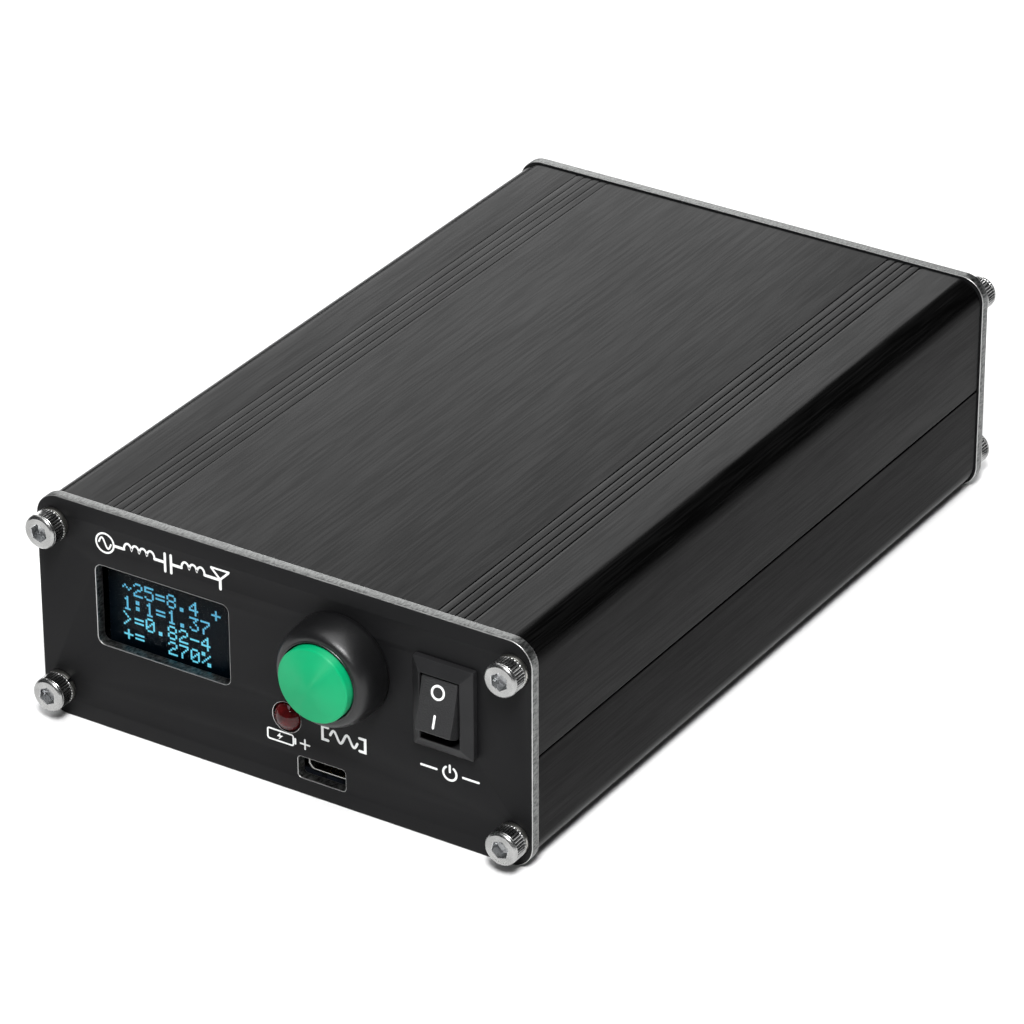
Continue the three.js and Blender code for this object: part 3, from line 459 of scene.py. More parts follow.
def moulded(name, base, roughness, depth=0.003, size=0.12, **sockets):
    made = Finish(name, base, roughness, **sockets)
    fine = made.noise(size, detail=2.0)
    broad = made.noise(5, detail=2.0)
    made.shade(broad, 0.08).gloss(fine, roughness * 0.88, roughness * 1.15).bump(fine, depth)
    return made.material


def turned_plastic():
    """A cap whose face was turned, so its gloss spreads out from its middle."""
    made = Finish("green_plastic", colour(2, 152, 98), 0.45, Specular_IOR_Level=0.25)
    made.shader.inputs["Anisotropic"].default_value = 0.9
    made.shader.inputs["Anisotropic Rotation"].default_value = 0.25
    fine = made.noise(0.12, detail=2.0)
    broad = made.noise(5, detail=2.0)
    made.shade(broad, 0.06).gloss(fine, 0.42, 0.5).bump(fine, 0.001)
    tangent = made.node("ShaderNodeTangent", direction_type="RADIAL", axis="Y")
    made.link(tangent.outputs["Tangent"], made.shader.inputs["Tangent"])
    return made.material


def circuit_board(name, base, light):
    """Solder mask over fine square-cornered tracks."""
    made = Finish(name, base, 0.35, Coat_Weight=0.3)
    mapping = made.node("ShaderNodeMapping")
    mapping.inputs["Scale"].default_value = (1 / MM,) * 3
    made.link(made.place, mapping.inputs["Vector"])
    cells = made.node("ShaderNodeTexVoronoi", Scale=0.55, distance="CHEBYCHEV")
    made.link(mapping.outputs["Vector"], cells.inputs["Vector"])
    made.tint(cells.outputs["Distance"], light, base, 0.42, 0.5)
    made.bump(cells.outputs["Distance"], 0.02)
    return made.material


def printed_white():
    made = Finish("printed_white", colour(236, 237, 236), 0.55)
    fine = made.noise(0.08, detail=2.0)
    made.shade(fine, 0.06).gloss(fine, 0.48, 0.62).bump(fine, 0.002)
    return made.material


def lit_pixels():
    """The two lower rows shine a little brighter than the two upper ones."""
    made = Finish("lit_pixels", colour(10, 40, 60), 0.4)
    split = made.node("ShaderNodeSeparateXYZ")
    made.link(made.place, split.inputs["Vector"])
    row_gap = (FIRST_ROW - 2 * ROW_PITCH + 0.5) * MM
    lower = made.spread(split.outputs["Z"], 0.75, 0.0, row_gap - 0.3 * MM, row_gap + 0.3 * MM)
    glow = made.node("ShaderNodeMath", operation="ADD")
    made.link(lower, glow.inputs[0])
    made.link(made.spread(made.noise(0.5, detail=1.0), 0.0, 0.25), glow.inputs[1])
    ramp = made.node("ShaderNodeValToRGB")
    ramp.color_ramp.elements[0].color = colour(84, 186, 226)
    ramp.color_ramp.elements[1].color = colour(116, 230, 255)
    made.link(glow.outputs["Value"], ramp.inputs["Fac"])
    made.link(ramp.outputs["Color"], made.shader.inputs["Emission Color"])
    made.shader.inputs["Emission Strength"].default_value = 0.9
    return made.material


def clear_glass():
    made = Finish("clear_glass", colour(4, 6, 9), 0.05, Alpha=0.04, Specular_IOR_Level=0.3)
    fine = made.noise(6, detail=1.0)
    made.shade(fine, 0.1).gloss(fine, 0.02, 0.06)
    return made.material


def red_lens():
    made = Finish("red_lens", colour(60, 8, 10), 0.14, Coat_Weight=0.35, Specular_IOR_Level=0.15)
    inner = made.noise(1.6, detail=1.0)
    fine = made.noise(0.1, detail=2.0)
    made.tint(inner, colour(46, 6, 8), colour(82, 12, 14), 0.3, 0.7)
    made.gloss(fine, 0.06, 0.12).bump(fine, 0.001)
    return made.material


CASE = anodised_case()
FACE = plate_face()
EDGE = bare_edge()
# A lighter copy of the bare edge's aluminium for the plate's rounded lips: painted highlight.
LIP = satin_metal("plate_lip_painted_highlight", colour(184, 184, 183), 0.36, depth=0.02, size=0.4)
STEEL = satin_metal("screw_steel", colour(160, 160, 159), 0.26)
# A lighter copy of the screw steel for the inside of the hex socket: painted highlight.
SOCKET_STEEL = satin_metal("screw_socket_painted_highlight", colour(186, 187, 188), 0.3)
# A near-black copy of the screw steel for the knurl valleys: painted shade in the grooves.
KNURL_SHADE = satin_metal("screw_knurl_painted_shade", colour(30, 30, 29), 0.5)
SPRING = satin_metal("spring_steel", colour(172, 171, 166), 0.3)
NICKEL = satin_metal("nickel_plate", colour(190, 190, 187), 0.22)
GOLD = satin_metal("gold_plate", colour(212, 172, 92), 0.24)
COPPER = satin_metal("copper_wire", colour(184, 104, 58), 0.3)
BLACK = moulded("black_plastic", colour(30, 30, 31), 0.42, depth=0.008, Specular_IOR_Level=0.2)
DOME = moulded("dome_plastic", colour(14, 14, 15), 0.36, depth=0.02, size=0.2, Specular_IOR_Level=0.45)
GRAINED = moulded("grained_plastic", colour(31, 31, 32), 0.46, 0.09, 0.22, Specular_IOR_Level=0.35)
GREEN = turned_plastic()
SOCKET_DARK = moulded("socket_plastic", colour(20, 20, 21), 0.45)
WHITE = printed_white()
PIXELS = lit_pixels()
GLASS = clear_glass()
PANEL = moulded("display_face", colour(1, 6, 12), 0.3, depth=0.0005, size=0.3, Specular_IOR_Level=0.05)
LENS = red_lens()
PTFE = moulded("white_insulator", colour(228, 226, 218), 0.5)
BOARD_GREEN = circuit_board("board_green", colour(18, 74, 44), colour(34, 104, 62))
BOARD_BLACK = circuit_board("board_black", colour(16, 19, 24), colour(34, 38, 46))
RELAY = moulded("relay_plastic", colour(34, 66, 142), 0.42)
CAPACITOR = moulded("capacitor_plastic", colour(190, 128, 40), 0.38)
TOROID = moulded("toroid_core", colour(150, 44, 36), 0.55, depth=0.02, size=0.3)
FERRITE = moulded("ferrite", colour(44, 44, 46), 0.6, depth=0.02, size=0.25)
WRAP = moulded("battery_wrap", colour(158, 164, 170), 0.3)
SLEEVE = moulded("sleeve_black", colour(28, 28, 28), 0.5)
SLEEVE_RED = moulded("sleeve_red", colour(158, 30, 26), 0.45)


# ---- case shells
def shell_outline(seam_edge):
    """A half shell's section as (u, v), v away from its outer face; seam_edge lists the lip's corners."""
    grooves = {-1: [], 1: []}
    for i in range(GROOVES):
        x = GROOVE_MIDDLE + (i - (GROOVES - 1) / 2) * GROOVE_PITCH
        grooves[1] += [
            (x - GROOVE_HALF, 0, 0.04),
            (x - GROOVE_HALF / 4, GROOVE_DEPTH, 0.02),
            (x + GROOVE_HALF / 2, GROOVE_BEVEL_DEPTH, 0.02),
            (x + GROOVE_HALF + GROOVE_BEVEL, 0, 0.05),
        ]
        grooves[-1] += [
            (x - GROOVE_HALF - GROOVE_BEVEL, 0, 0.05),
            (x + GROOVE_HALF / 4, GROOVE_BEVEL_DEPTH, 0.02),
            (x + GROOVE_HALF, 0, 0.04),
        ]
    half = []
    bend = arc(CASE_HALF_W - CASE_RADIUS, CASE_RADIUS, CASE_RADIUS, -90, 0, 28)
    half += [(x, y, 0) for x, y in bend]
    half += seam_edge
    rail_tip = CAVITY_HALF_W - 2.2
    rails = [
        (CAVITY_HALF_W, 11.6, 0.2),
        (rail_tip, 11.6, 0.2),
        (rail_tip, 10.4, 0.2),
        (CAVITY_HALF_W, 10.4, 0.2),
        (CAVITY_HALF_W, 8.4, 0.2),
        (rail_tip, 8.4, 0.2),
    ]
    reach = SCREW_X - rail_tip
    first = 90 + math.degrees(math.asin(reach / BOSS_RADIUS))
    last = 180 + math.degrees(math.asin((SCREW_INSET - CASE_WALL) / BOSS_RADIUS))
    boss = arc(SCREW_X, SCREW_INSET, BOSS_RADIUS, first, last, 16)
    half += rails + [(x, y, 0) for x, y in boss]
    left = [(-x, y, r) for x, y, r in (grooves[-1] + half)[::-1]]
    return filleted(grooves[1] + half + left)


def make_shells():
    top_seam = CASE_H - SEAM_TOP
    tongue = CASE_H - TONGUE_LOW
    top_lip = [
        (CASE_HALF_W, top_seam, 0.2),
        (TONGUE_OUT, top_seam, 0.1),
        (TONGUE_OUT, tongue, 0.15),
        (CAVITY_HALF_W, tongue, 0.15),
    ]
    bottom_lip = [
        (CASE_HALF_W, SEAM_BOTTOM, 0.2),
        (REBATE_OUT, SEAM_BOTTOM, 0.15),
        (REBATE_OUT, REBATE_FLOOR, 0.1),
        (CAVITY_HALF_W, REBATE_FLOOR, 0.15),
    ]
    bores = [circle(side * SCREW_X, SCREW_INSET, SCREW_HOLE, 32) for side in (-1, 1)]
    for name, lip, to in (
        ("top_shell", top_lip, along_case(CASE_H, -1)),
        ("bottom_shell", bottom_lip, along_case(0, 1)),
    ):
        shape = Shape(to)
        shape.slab(shell_outline(lip), bores, -CASE_HALF_L, CASE_HALF_L, edge=0.04, steps=1)
        shape.stand_in("detail_" + name, name, [CASE], "case_anodised", sharp=40)


# ---- end plates
WINDOW = (-21.3, 21.2, 24.25, 13.75, 1.2)
SLOT = (7.0, 4.35, 8.5, 3.67, 0.6)
BUTTON = (11.0, 24.65)
LAMP = (0.9, 12.2)
LAMP_RADIUS = 2.4
BARREL_RADIUS = 6.0
ROCKER = (29.35, 23.4)
RF_X = 20.0
RF_Z = 17.5
RF_RADIUS = 7.9


def plate_holes():
    return [
        circle(sx * SCREW_X, z, SCREW_HOLE, 48)
        for sx in (-1, 1)
        for z in (SCREW_INSET, CASE_H - SCREW_INSET)
    ]


def plate_side(strip):
    """The cut side is strip 3; the three strips on either hand of it are the rounded lips, coloured lighter
    as a painted highlight.
    """
    return 1 if strip == 3 else 2


def make_plates():
    outline = rounded_rectangle(0, PLATE_Z, PLATE_W, PLATE_H, PLATE_RADIUS, 20)
    low, high = corners("rocker_housing")
    rocker_w = high.x - low.x - 2 * BEZEL_OVER_W + 0.4
    rocker_h = high.z - low.z - 2 * BEZEL_OVER_H + 0.4
    front_holes = plate_holes() + [
        rounded_rectangle(*WINDOW, 8),
        rounded_rectangle(*SLOT, 6),
        rounded_rectangle(*ROCKER, rocker_w, rocker_h, 0.3, 4),
        circle(*BUTTON, BARREL_RADIUS + 0.2, 96),
        circle(*LAMP, LAMP_RADIUS + 0.1, 64),
    ]
    front = Shape(out_of_front())
    front.slab(outline, front_holes, -PLATE, 0, edge=0.1, steps=3, side=plate_side)
    front.stand_in("detail_front_panel", "front_panel", [FACE, EDGE, LIP], "plate_black")
    rear_holes = plate_holes() + [circle(s * RF_X, RF_Z, RF_RADIUS + 0.2, 96) for s in (-1, 1)]
    rear = Shape(out_of_rear())
    rear.slab(outline, rear_holes, -PLATE, 0, edge=0.1, steps=3, side=plate_side)
    rear.stand_in("detail_rear_panel", "rear_panel", [FACE, EDGE, LIP], "plate_black")


# ---- case screws and spring washers
HEAD_RADIUS = 2.75
HEAD_LOW = 0.9
HEAD_HIGH = 3.9
KNURLS = 36
KNURL_DEPTH = 0.13
KNURL_STEPS = 6
KNURL_STRIP = 4  # the strip of the head between the base rim and the collar
COLLAR = 0.62
SOCKET_STRIP = 13
SOCKET_FLATS = 2.5
SOCKET_DEPTH = 1.6
SHANK_RADIUS = 1.5
SHANK_TIP = -10.05
THREAD_PITCH = 0.5
THREAD_DEPTH = 0.26
TIP_CHAMFER = 0.3


def knurled(angle, radius, w):
    """Straight knurls round the head, fading out at its rims."""
    if not HEAD_LOW + 0.25 < w < HEAD_HIGH - COLLAR - 0.05:
        return radius
    return radius - KNURL_DEPTH * abs(math.sin(KNURLS * angle / 2)) ** 1.5


def hexagon(angle, radius, w):
    """Turns the socket's circles into hexagons."""
    if radius > SOCKET_FLATS / 2 + 0.1:
        return radius
    sixth = math.pi / 3
    return radius / math.cos((angle + sixth / 2) % sixth - sixth / 2)


def screw_shape(to, turn):
    shape = Shape(to @ Matrix.Rotation(turn, 4, "Z"))
    rim = HEAD_RADIUS - 0.04
    outside = [
        (0, HEAD_LOW),
        (HEAD_RADIUS - 0.2, HEAD_LOW),
        (rim, HEAD_LOW + 0.14),
        (HEAD_RADIUS, HEAD_LOW + 0.2),
        (HEAD_RADIUS, HEAD_LOW + 0.3),
        (HEAD_RADIUS, HEAD_HIGH - COLLAR - 0.1),
        (HEAD_RADIUS, HEAD_HIGH - COLLAR),
        (rim, HEAD_HIGH - COLLAR + 0.06),
        (rim, HEAD_HIGH - 0.34),
        (rim - 0.04, HEAD_HIGH - 0.26),
        (rim - 0.3, HEAD_HIGH - 0.05),
        (rim - 0.36, HEAD_HIGH - 0.015),
        (rim - 0.44, HEAD_HIGH),
    ]
    half = SOCKET_FLATS / 2
    inside = [
        (half + 0.09, HEAD_HIGH),
        (half + 0.02, HEAD_HIGH - 0.05),
        (half, HEAD_HIGH - 0.12),
        (half, HEAD_HIGH - SOCKET_DEPTH),
        (half - 0.12, HEAD_HIGH - SOCKET_DEPTH - 0.05),
        (0, HEAD_HIGH - SOCKET_DEPTH - 0.45),
    ]

    def surface(angle, radius, w):
        return knurled(angle, radius, w) if radius > rim - 0.01 else hexagon(angle, radius, w)

    steps = KNURLS * KNURL_STEPS
    # The socket's strips take the lighter steel, a painted highlight.
    shape.turned(outside + inside, steps, lambda strip: 2 if strip >= SOCKET_STRIP else 0, shape=surface)
    # The faces down in each knurl's valley take the dark steel, a painted shade.
    for k in range(steps):
        if k % KNURL_STEPS in (2, 3):
            shape.finishes[KNURL_STRIP * steps + k] = 1

    def thread(angle, radius, w):
        """A helical thread, fading out at the tip and under the head."""
        phase = (w / THREAD_PITCH - angle / TAU) % 1
        fade = min(1.0, (w - SHANK_TIP) / 0.6, (HEAD_LOW - w) / 0.8)
        cut = THREAD_DEPTH * max(fade, 0.0) * (1 - abs(2 * phase - 1))
        point = TIP_CHAMFER * max(0, 1 - (w - SHANK_TIP) / 0.4)
        return radius - cut - point

    steps = 88
    shank = [(0, SHANK_TIP)]
    for i in range(steps + 1):
        shank.append((SHANK_RADIUS, SHANK_TIP + (HEAD_LOW + 0.1 - SHANK_TIP) * i / steps))
    shank.append((0, HEAD_LOW + 0.1))
    return shape.turned(shank, 16, 0, shape=thread)


def washer_shape(to, turn):
    """A split ring of square section whose ends stand a little apart."""
    shape = Shape(to @ Matrix.Rotation(turn, 4, "Z"))
    inner, outer = 1.82, 2.7
    section = filleted(
        [(inner, 0, 0.1), (outer, 0, 0.1), (outer, 0.76, 0.1), (inner, 0.76, 0.1)], 2
    )
    gap = 0.12
    rings = []
    steps = 64
    for i in range(steps + 1):
        angle = gap + (TAU - 2 * gap) * i / steps
        rise = 0.05 + 0.04 * i / steps
        rings.append([(r * math.cos(angle), r * math.sin(angle), w + rise) for r, w in section])
    return shape.loft(rings)


def make_fasteners():
    for end, out in (("front", out_of_front), ("rear", out_of_rear)):
        number = 1
        for z in (CASE_H - SCREW_INSET, SCREW_INSET):
            for x in (-SCREW_X, SCREW_X):
                turn = 0.35 + 0.9 * number + (0.4 if end == "rear" else 0)
                name = f"case_screw_{end}_{number}"
                finishes = [STEEL, KNURL_SHADE, SOCKET_STEEL]
                screw = screw_shape(out(x, z), turn)
                screw.stand_in("detail_" + name, name, finishes, "screw_steel", sharp=28)
                name = f"spring_washer_{end}_{number}"
                washer = washer_shape(out(x, z), turn * 2.3)
                washer.stand_in("detail_" + name, name, [SPRING], "spring_steel")
                number += 1


# ---- display
PIXEL = 0.17
GLYPHS = {
    "0": "01110 10001 10011 10101 11001 10001 01110",
    "1": "00100 01100 00100 00100 00100 00100 01110",
    "2": "01110 10001 00001 00110 01000 10000 11111",
    "3": "11111 00010 00100 00010 00001 10001 01110",
    "4": "00010 00110 01010 10010 11111 00010 00010",
    "5": "11111 10000 11110 00001 00001 10001 01110",
    "7": "11111 00001 00010 00100 01000 01000 01000",
    "8": "01110 10001 10001 01110 10001 10001 01110",
    ".": "00000 00000 00000 00000 00000 01100 01100",
    ":": "00000 01100 01100 00000 01100 01100 00000",
    "=": "00000 00000 11111 00000 11111 00000 00000",
    "-": "00000 00000 00000 11111 00000 00000 00000",
    "+": "00000 00100 00100 11111 00100 00100 00000",
    ">": "10000 01000 00100 00010 00100 01000 10000",
    "~": "00000 00000 01000 10101 00010 00000 00000",
    "%": "11000 11001 00010 00100 01000 10011 00011",
}
READINGS = ("~25=8.4 +", "1:1=1.37", ">=0.82-4", "+=  270%")
CHARACTER_PITCH = 2.04
FIRST_COLUMN = -30.35


def make_display():
    low, high = corners("display_glass")
    front = FRONT_Y - low.y
    back = FRONT_Y - high.y
    cover_back = front - 0.62
    cover = Shape(out_of_front())
    cover.box(low.x, high.x, low.z, high.z, cover_back, front, edge=0.12)
    cover.stand_in("display_cover_glass", "display_glass", [GLASS], "display_glass")
    panel = Shape(out_of_front())
    panel.box(low.x, high.x, low.z, high.z, back, cover_back - 0.03, edge=0.06)
    panel.stand_in("display_panel", "display_glass", [PANEL], "display_glass")
    lit = Shape(out_of_front())
    base = cover_back - 0.035
    dot = 2 * PIXEL - 0.03
    for row, text in enumerate(READINGS):
        for column, character in enumerate(text):
            if character == " ":
                continue
            for line, bits in enumerate(GLYPHS[character].split()):
                for place, bit in enumerate(bits):
                    if bit == "0":
                        continue
                    u = FIRST_COLUMN + column * CHARACTER_PITCH + place * 2 * PIXEL
                    v = FIRST_ROW - row * ROW_PITCH - line * 2 * PIXEL
                    square = [(u, v), (u + dot, v), (u + dot, v + dot), (u, v + dot)]
                    lit.loft([[(a, b, w) for a, b in square] for w in (base, base + 0.02)])
    lit.make("display_pixels", [PIXELS], slot="display_glass")


# ---- push button
DOME_HEIGHT = 6.4
CAP_RADIUS = 6.1
CAP_RIM = 7.8
CAP_CROWN = 1.0
DOME_FLARE = 1.9
CAP_TIP = 0.5  # how blunt the cone's tip is, as a share of the radius
CAP_THICKNESS = 3.2
CAP_BACK = CAP_RIM - CAP_THICKNESS
CAP_SPACE = 2.4  # below the cap when it is out
CAVITY_FLOOR = CAP_BACK - CAP_SPACE
STEM_RADIUS = 2.2
STEM_LENGTH = 10
STEM_BORE = 2.4
STEM_BORE_END = -8.3
SPRING_RADIUS = 3.5
SPRING_BORE = 4.05
SPRING_SEAT = -4
BARREL_LENGTH_PAST_PINS = 4.5


def make_button():
    low, high = corners("tune_button_housing")
    tip = FRONT_Y - high.y
    barrel_end = tip + BARREL_LENGTH_PAST_PINS
    base = (high.x - low.x) / 2
    lip = base - DOME_FLARE
    cavity = CAP_RADIUS + 0.2
    side = [(base - 0.12, 0.05, 0), (base, 0.2, 0), (base, 1.0, 0)]
    steps = 18
    for i in range(1, steps + 1):
        angle = math.pi / 2 * i / steps
        rise = 0.16 + 0.84 * math.sin(angle) ** 0.8
        side.append((lip + DOME_FLARE * abs(math.cos(angle)) ** 0.8, DOME_HEIGHT * rise - 0.12, 0))
    profile = filleted(
        [(0, barrel_end, 0), (BARREL_RADIUS, barrel_end, 0.4), (BARREL_RADIUS, 0.05, 0)]
        + side
        + [
            (lip - 0.08, DOME_HEIGHT, 0.05),
            (cavity + 0.05, DOME_HEIGHT, 0.05),
            (cavity, DOME_HEIGHT - 0.1, 0),
            (cavity, CAVITY_FLOOR, 0),
            (SPRING_BORE, CAVITY_FLOOR, 0),
            (SPRING_BORE, SPRING_SEAT, 0),
            (STEM_BORE, SPRING_SEAT, 0),
            (STEM_BORE, STEM_BORE_END, 0),
            (0, STEM_BORE_END, 0),
        ],
        3,
        closed=False,
    )
    housing = Shape(out_of_front(*BUTTON))
    housing.turned(profile, 128)
    for side_of in (-1, 1):
        u = side_of * 2.8
        housing.box(u - 0.35, u + 0.35, -1.2, 1.2, tip, barrel_end + 0.2, 0.08, finish=1)
    finishes = [DOME, NICKEL]
    housing.stand_in("detail_button_housing", "tune_button_housing", finishes, "black_plastic", sharp=50)
    rim = CAP_RADIUS
    cap_profile = filleted(
        [
            (0, CAP_BACK - STEM_LENGTH, 0),
            (STEM_RADIUS, CAP_BACK - STEM_LENGTH, 0.2),
            (STEM_RADIUS, CAP_BACK, 0.1),
            (rim - 0.05, CAP_BACK, 0.1),
            (rim, CAP_RIM - 0.25, 0.12),
            (rim - 0.14, CAP_RIM - 0.04, 0.12),
        ],
        4,
        closed=False,
    )
    crown_steps = 20
    for i in range(crown_steps + 1):
        share = 1 - i / crown_steps
        fall = (math.hypot(share, CAP_TIP) - CAP_TIP) / (math.hypot(1, CAP_TIP) - CAP_TIP)
        cap_profile.append(((rim - 0.3) * share, CAP_RIM + CAP_CROWN * (1 - fall)))
    cap = Shape(out_of_front(*BUTTON))
    cap.turned(cap_profile, 128)
    cap.stand_in("detail_button_cap", "tune_button_cap", [GREEN], "green_plastic", "tune_button", 60)
    coil = Shape(out_of_front(*BUTTON))
    low_w, high_w = -3.65, CAP_BACK - 0.35
    turns = 5
    path = []
    for i in range(turns * 28 + 1):
        angle = TAU * i / 28
        share = i / (turns * 28)
        w = low_w + (high_w - low_w) * share
        path.append((SPRING_RADIUS * math.cos(angle), SPRING_RADIUS * math.sin(angle), w))
    coil.wire(path, 0.25, 10)
    spring = coil.stand_in("detail_button_spring", "tune_button_spring", [SPRING], "spring_steel")
    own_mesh(spring)


# ---- rocker switch
BEZEL_OVER_W = 1.05  # how far the bezel stands past the body at each side, and above and below it
BEZEL_OVER_H = 0.8
AXLE_BEHIND = 1.3
TILT = math.radians(15)
PADDLE_TOP = 4.4
PADDLE_HALF = 4.2
PADDLE_DISH = 0.15
PADDLE_HALF_W = 3.1
AXLE_RADIUS = 0.9
AXLE_PROUD = 0.55  # past each side of the paddle
WELL_DEPTH = 9
BODY_DEPTH = 12
PIN_OFFSET = 3.6
PIN_TIP = 18


def make_rocker():
    low, high = corners("rocker_housing")
    half_w, half_h = (high.x - low.x) / 2, (high.z - low.z) / 2
    body_w, body_h = half_w - BEZEL_OVER_W, half_h - BEZEL_OVER_H
    open_w, open_h = body_w - 0.8, body_h - 1.2
    bezel_top = FRONT_Y - low.y
    upright = bezel_top - 1.0

    def loop(w, hu, hv, radius):
        return [(u, v, w) for u, v in rounded_rectangle(0, 0, 2 * hu, 2 * hv, radius, 5)]

    frame_rings = [
        loop(-WELL_DEPTH, open_w, open_h, 0.05),
        loop(bezel_top - 0.12, open_w, open_h, 0.1),
        loop(bezel_top - 0.02, open_w + 0.06, open_h + 0.06, 0.14),
        loop(bezel_top - 0.02, open_w + 0.16, open_h + 0.14, 0.2),
        loop(upright + 0.1, half_w - 0.14, half_h - 0.14, 0.25),
        loop(upright - 0.02, half_w - 0.03, half_h - 0.03, 0.3),
        loop(upright - 0.16, half_w, half_h, 0.3),
        loop(0.08, half_w, half_h, 0.3),
        loop(0.05, half_w - 0.05, half_h - 0.05, 0.3),
        loop(0.05, body_w, body_h, 0.2),
        loop(-BODY_DEPTH, body_w, body_h, 0.2),
    ]
    housing = Shape(out_of_front(*ROCKER))
    housing.loft(frame_rings)
    for side_of in (-1, 1):
        v = side_of * PIN_OFFSET
        housing.box(-1.6, 1.6, v - 0.4, v + 0.4, -PIN_TIP, 0.2 - BODY_DEPTH, 0.08, finish=1)
    finishes = [BLACK, NICKEL]
    housing.stand_in("detail_rocker_housing", "rocker_housing", finishes, "black_plastic", sharp=24)

    pivot = out_of_front(*ROCKER) @ Matrix.Translation((0, 0, -AXLE_BEHIND))
    tilted = pivot @ Matrix.Rotation(-TILT, 4, "X")
    # u runs up the paddle, v out of it and w across it
    turned_side = tilted @ Matrix(((0, 0, 1, 0), (1, 0, 0, 0), (0, 1, 0, 0), (0, 0, 0, 1)))
    hips, knees = PADDLE_HALF + 0.55, PADDLE_HALF - 1.1
    side_view = filleted(
        [
            (-1.2, -2.4, 0.4),
            (1.2, -2.4, 0.4),
            (knees, -1.2, 0.8),
            (hips, PADDLE_TOP / 2, 1.2),
            (PADDLE_HALF, PADDLE_TOP, 0.28),
            (0, PADDLE_TOP - PADDLE_DISH, 2.0),
            (-PADDLE_HALF, PADDLE_TOP, 0.28),
            (-hips, PADDLE_TOP / 2, 1.2),
            (-knees, -1.2, 0.8),
        ],
        6,
    )
    end = PADDLE_HALF_W + AXLE_PROUD
    paddle = Shape(turned_side)
    paddle.slab(side_view, [], -PADDLE_HALF_W, PADDLE_HALF_W, edge=0.16, steps=3)
    paddle.turned([(0, -end), (AXLE_RADIUS, -end), (AXLE_RADIUS, end), (0, end)], 32)
    paddle.stand_in("detail_rocker_paddle", "rocker_paddle", [GRAINED], "black_plastic", "rocker", 24)

    slope = math.atan2(PADDLE_DISH, PADDLE_HALF)
    middle = PADDLE_HALF / 2
    face = PADDLE_TOP - PADDLE_DISH / 2
    for name, up, lean, outline, holes in (
        ("off", middle + 0.1, slope, circle(0, 0, 1.2, 64), [circle(0, 0, 0.84, 64)]),
        ("on", -middle - 0.2, -slope, *stroke([(0, -0.9), (0, 0.9)], 0.38)),
    ):
        to = tilted @ Matrix.Translation((0, up, face)) @ Matrix.Rotation(lean, 4, "X")
        mark = Shape(to)
        mark.slab(outline, holes, -0.02, 0.035, edge=0.015, steps=1)
        mark.make("rocker_mark_" + name, [WHITE], "rocker", slot="black_plastic")


# ---- charging lamp and socket
def make_charging():
    low, high = corners("charge_lamp")
    proud = FRONT_Y - low.y
    back = FRONT_Y - high.y
    profile = [(0, back), (2.85, back), (2.9, back + 0.05), (2.9, back + 0.95), (2.85, back + 1.0)]
    profile.append((LAMP_RADIUS, back + 1.0))
    steps = 20
    for i in range(steps + 1):
        angle = math.pi / 2 * i / steps
        radius = LAMP_RADIUS * math.cos(angle) if i < steps else 0
        profile.append((radius, proud - LAMP_RADIUS * (1 - math.sin(angle))))
    lamp = Shape(out_of_front(*LAMP))
    lamp.turned(profile, 96)
    lamp.stand_in("detail_charge_lamp", "charge_lamp", [LENS], "red_lens", sharp=50)

    low, high = corners("charge_socket")
    front, back = FRONT_Y - low.y, FRONT_Y - high.y
    mid_x, mid_z = (low.x + high.x) / 2, (low.z + high.z) / 2
    half_w, half_h = (high.x - low.x) / 2, (high.z - low.z) / 2

    def loop(w, shrink, radius=0.35):
        a, b, cut = half_w - shrink, half_h - shrink, 0.7
        points = [
            (-a + cut, -b, radius),
            (a - cut, -b, radius),
            (a, -b + cut, radius),
            (a, b, radius),
            (-a, b, radius),
            (-a, -b + cut, radius),
        ]
        return [(u, v, w) for u, v in filleted(points, 5)]

    socket = Shape(out_of_front(mid_x, mid_z))
    socket.loft(
        [
            loop(back, 0.1),
            loop(back + 0.1, 0),
            loop(front - 0.12, 0),
            loop(front - 0.02, 0.05),
            loop(front, 0.15),
            loop(front - 0.04, 0.27),
            loop(front - 0.2, 0.3),
            loop(back + 0.5, 0.3),
        ]
    )
    socket.stand_in("detail_charge_socket", "charge_socket", [NICKEL], "nickel")
    low, high = corners("charge_socket_tongue")
    tongue = Shape(out_of_front())
    front, back = FRONT_Y - low.y, FRONT_Y - high.y
    tongue.box(low.x, high.x, low.z, high.z, back, front, edge=0.08)
    for i in range(5):
        u = (low.x + high.x) / 2 + (i - 2) * 0.65
        tongue.box(u - 0.16, u + 0.16, low.z - 0.04, low.z + 0.02, back, front - 0.3, 0.01, 1, 1)
    finishes = [SOCKET_DARK, GOLD]
    tongue.stand_in("detail_charge_tongue", "charge_socket_tongue", finishes, "black_plastic")


# ---- printed symbols
PRINT = 0.03
LOOP_STEPS = 14


class Print:
    """White symbols a few hundredths of a millimetre proud of the front face."""

    def __init__(self):
        self.shape = Shape(out_of_front())
        self.layer = 0

    def add(self, outline, holes=()):
        """Each stroke is a hair thicker than the last, so that crossing strokes don't share a plane."""
        self.layer += 1
        self.shape.slab(outline, list(holes), 0.0, PRINT + 0.0006 * self.layer, edge=0, steps=0)

    def line(self, points, width=0.46, closed=False):
        self.add(*stroke(points, width, closed))

    def make(self, name):
        self.shape.make(name, [WHITE], slot="plate_black")


def loops(x0, x1, y, count, radius):
    """The bumps of a coil symbol from x0 to x1."""
    width = (x1 - x0) / count
    path = []
    for i in range(count):
        bump = arc(x0 + width * (i + 0.5), y, width / 2, 180, 0, LOOP_STEPS)
        path += [(u, y + (v - y) * radius * 2 / width) for u, v in bump[i > 0 :]]
    return path


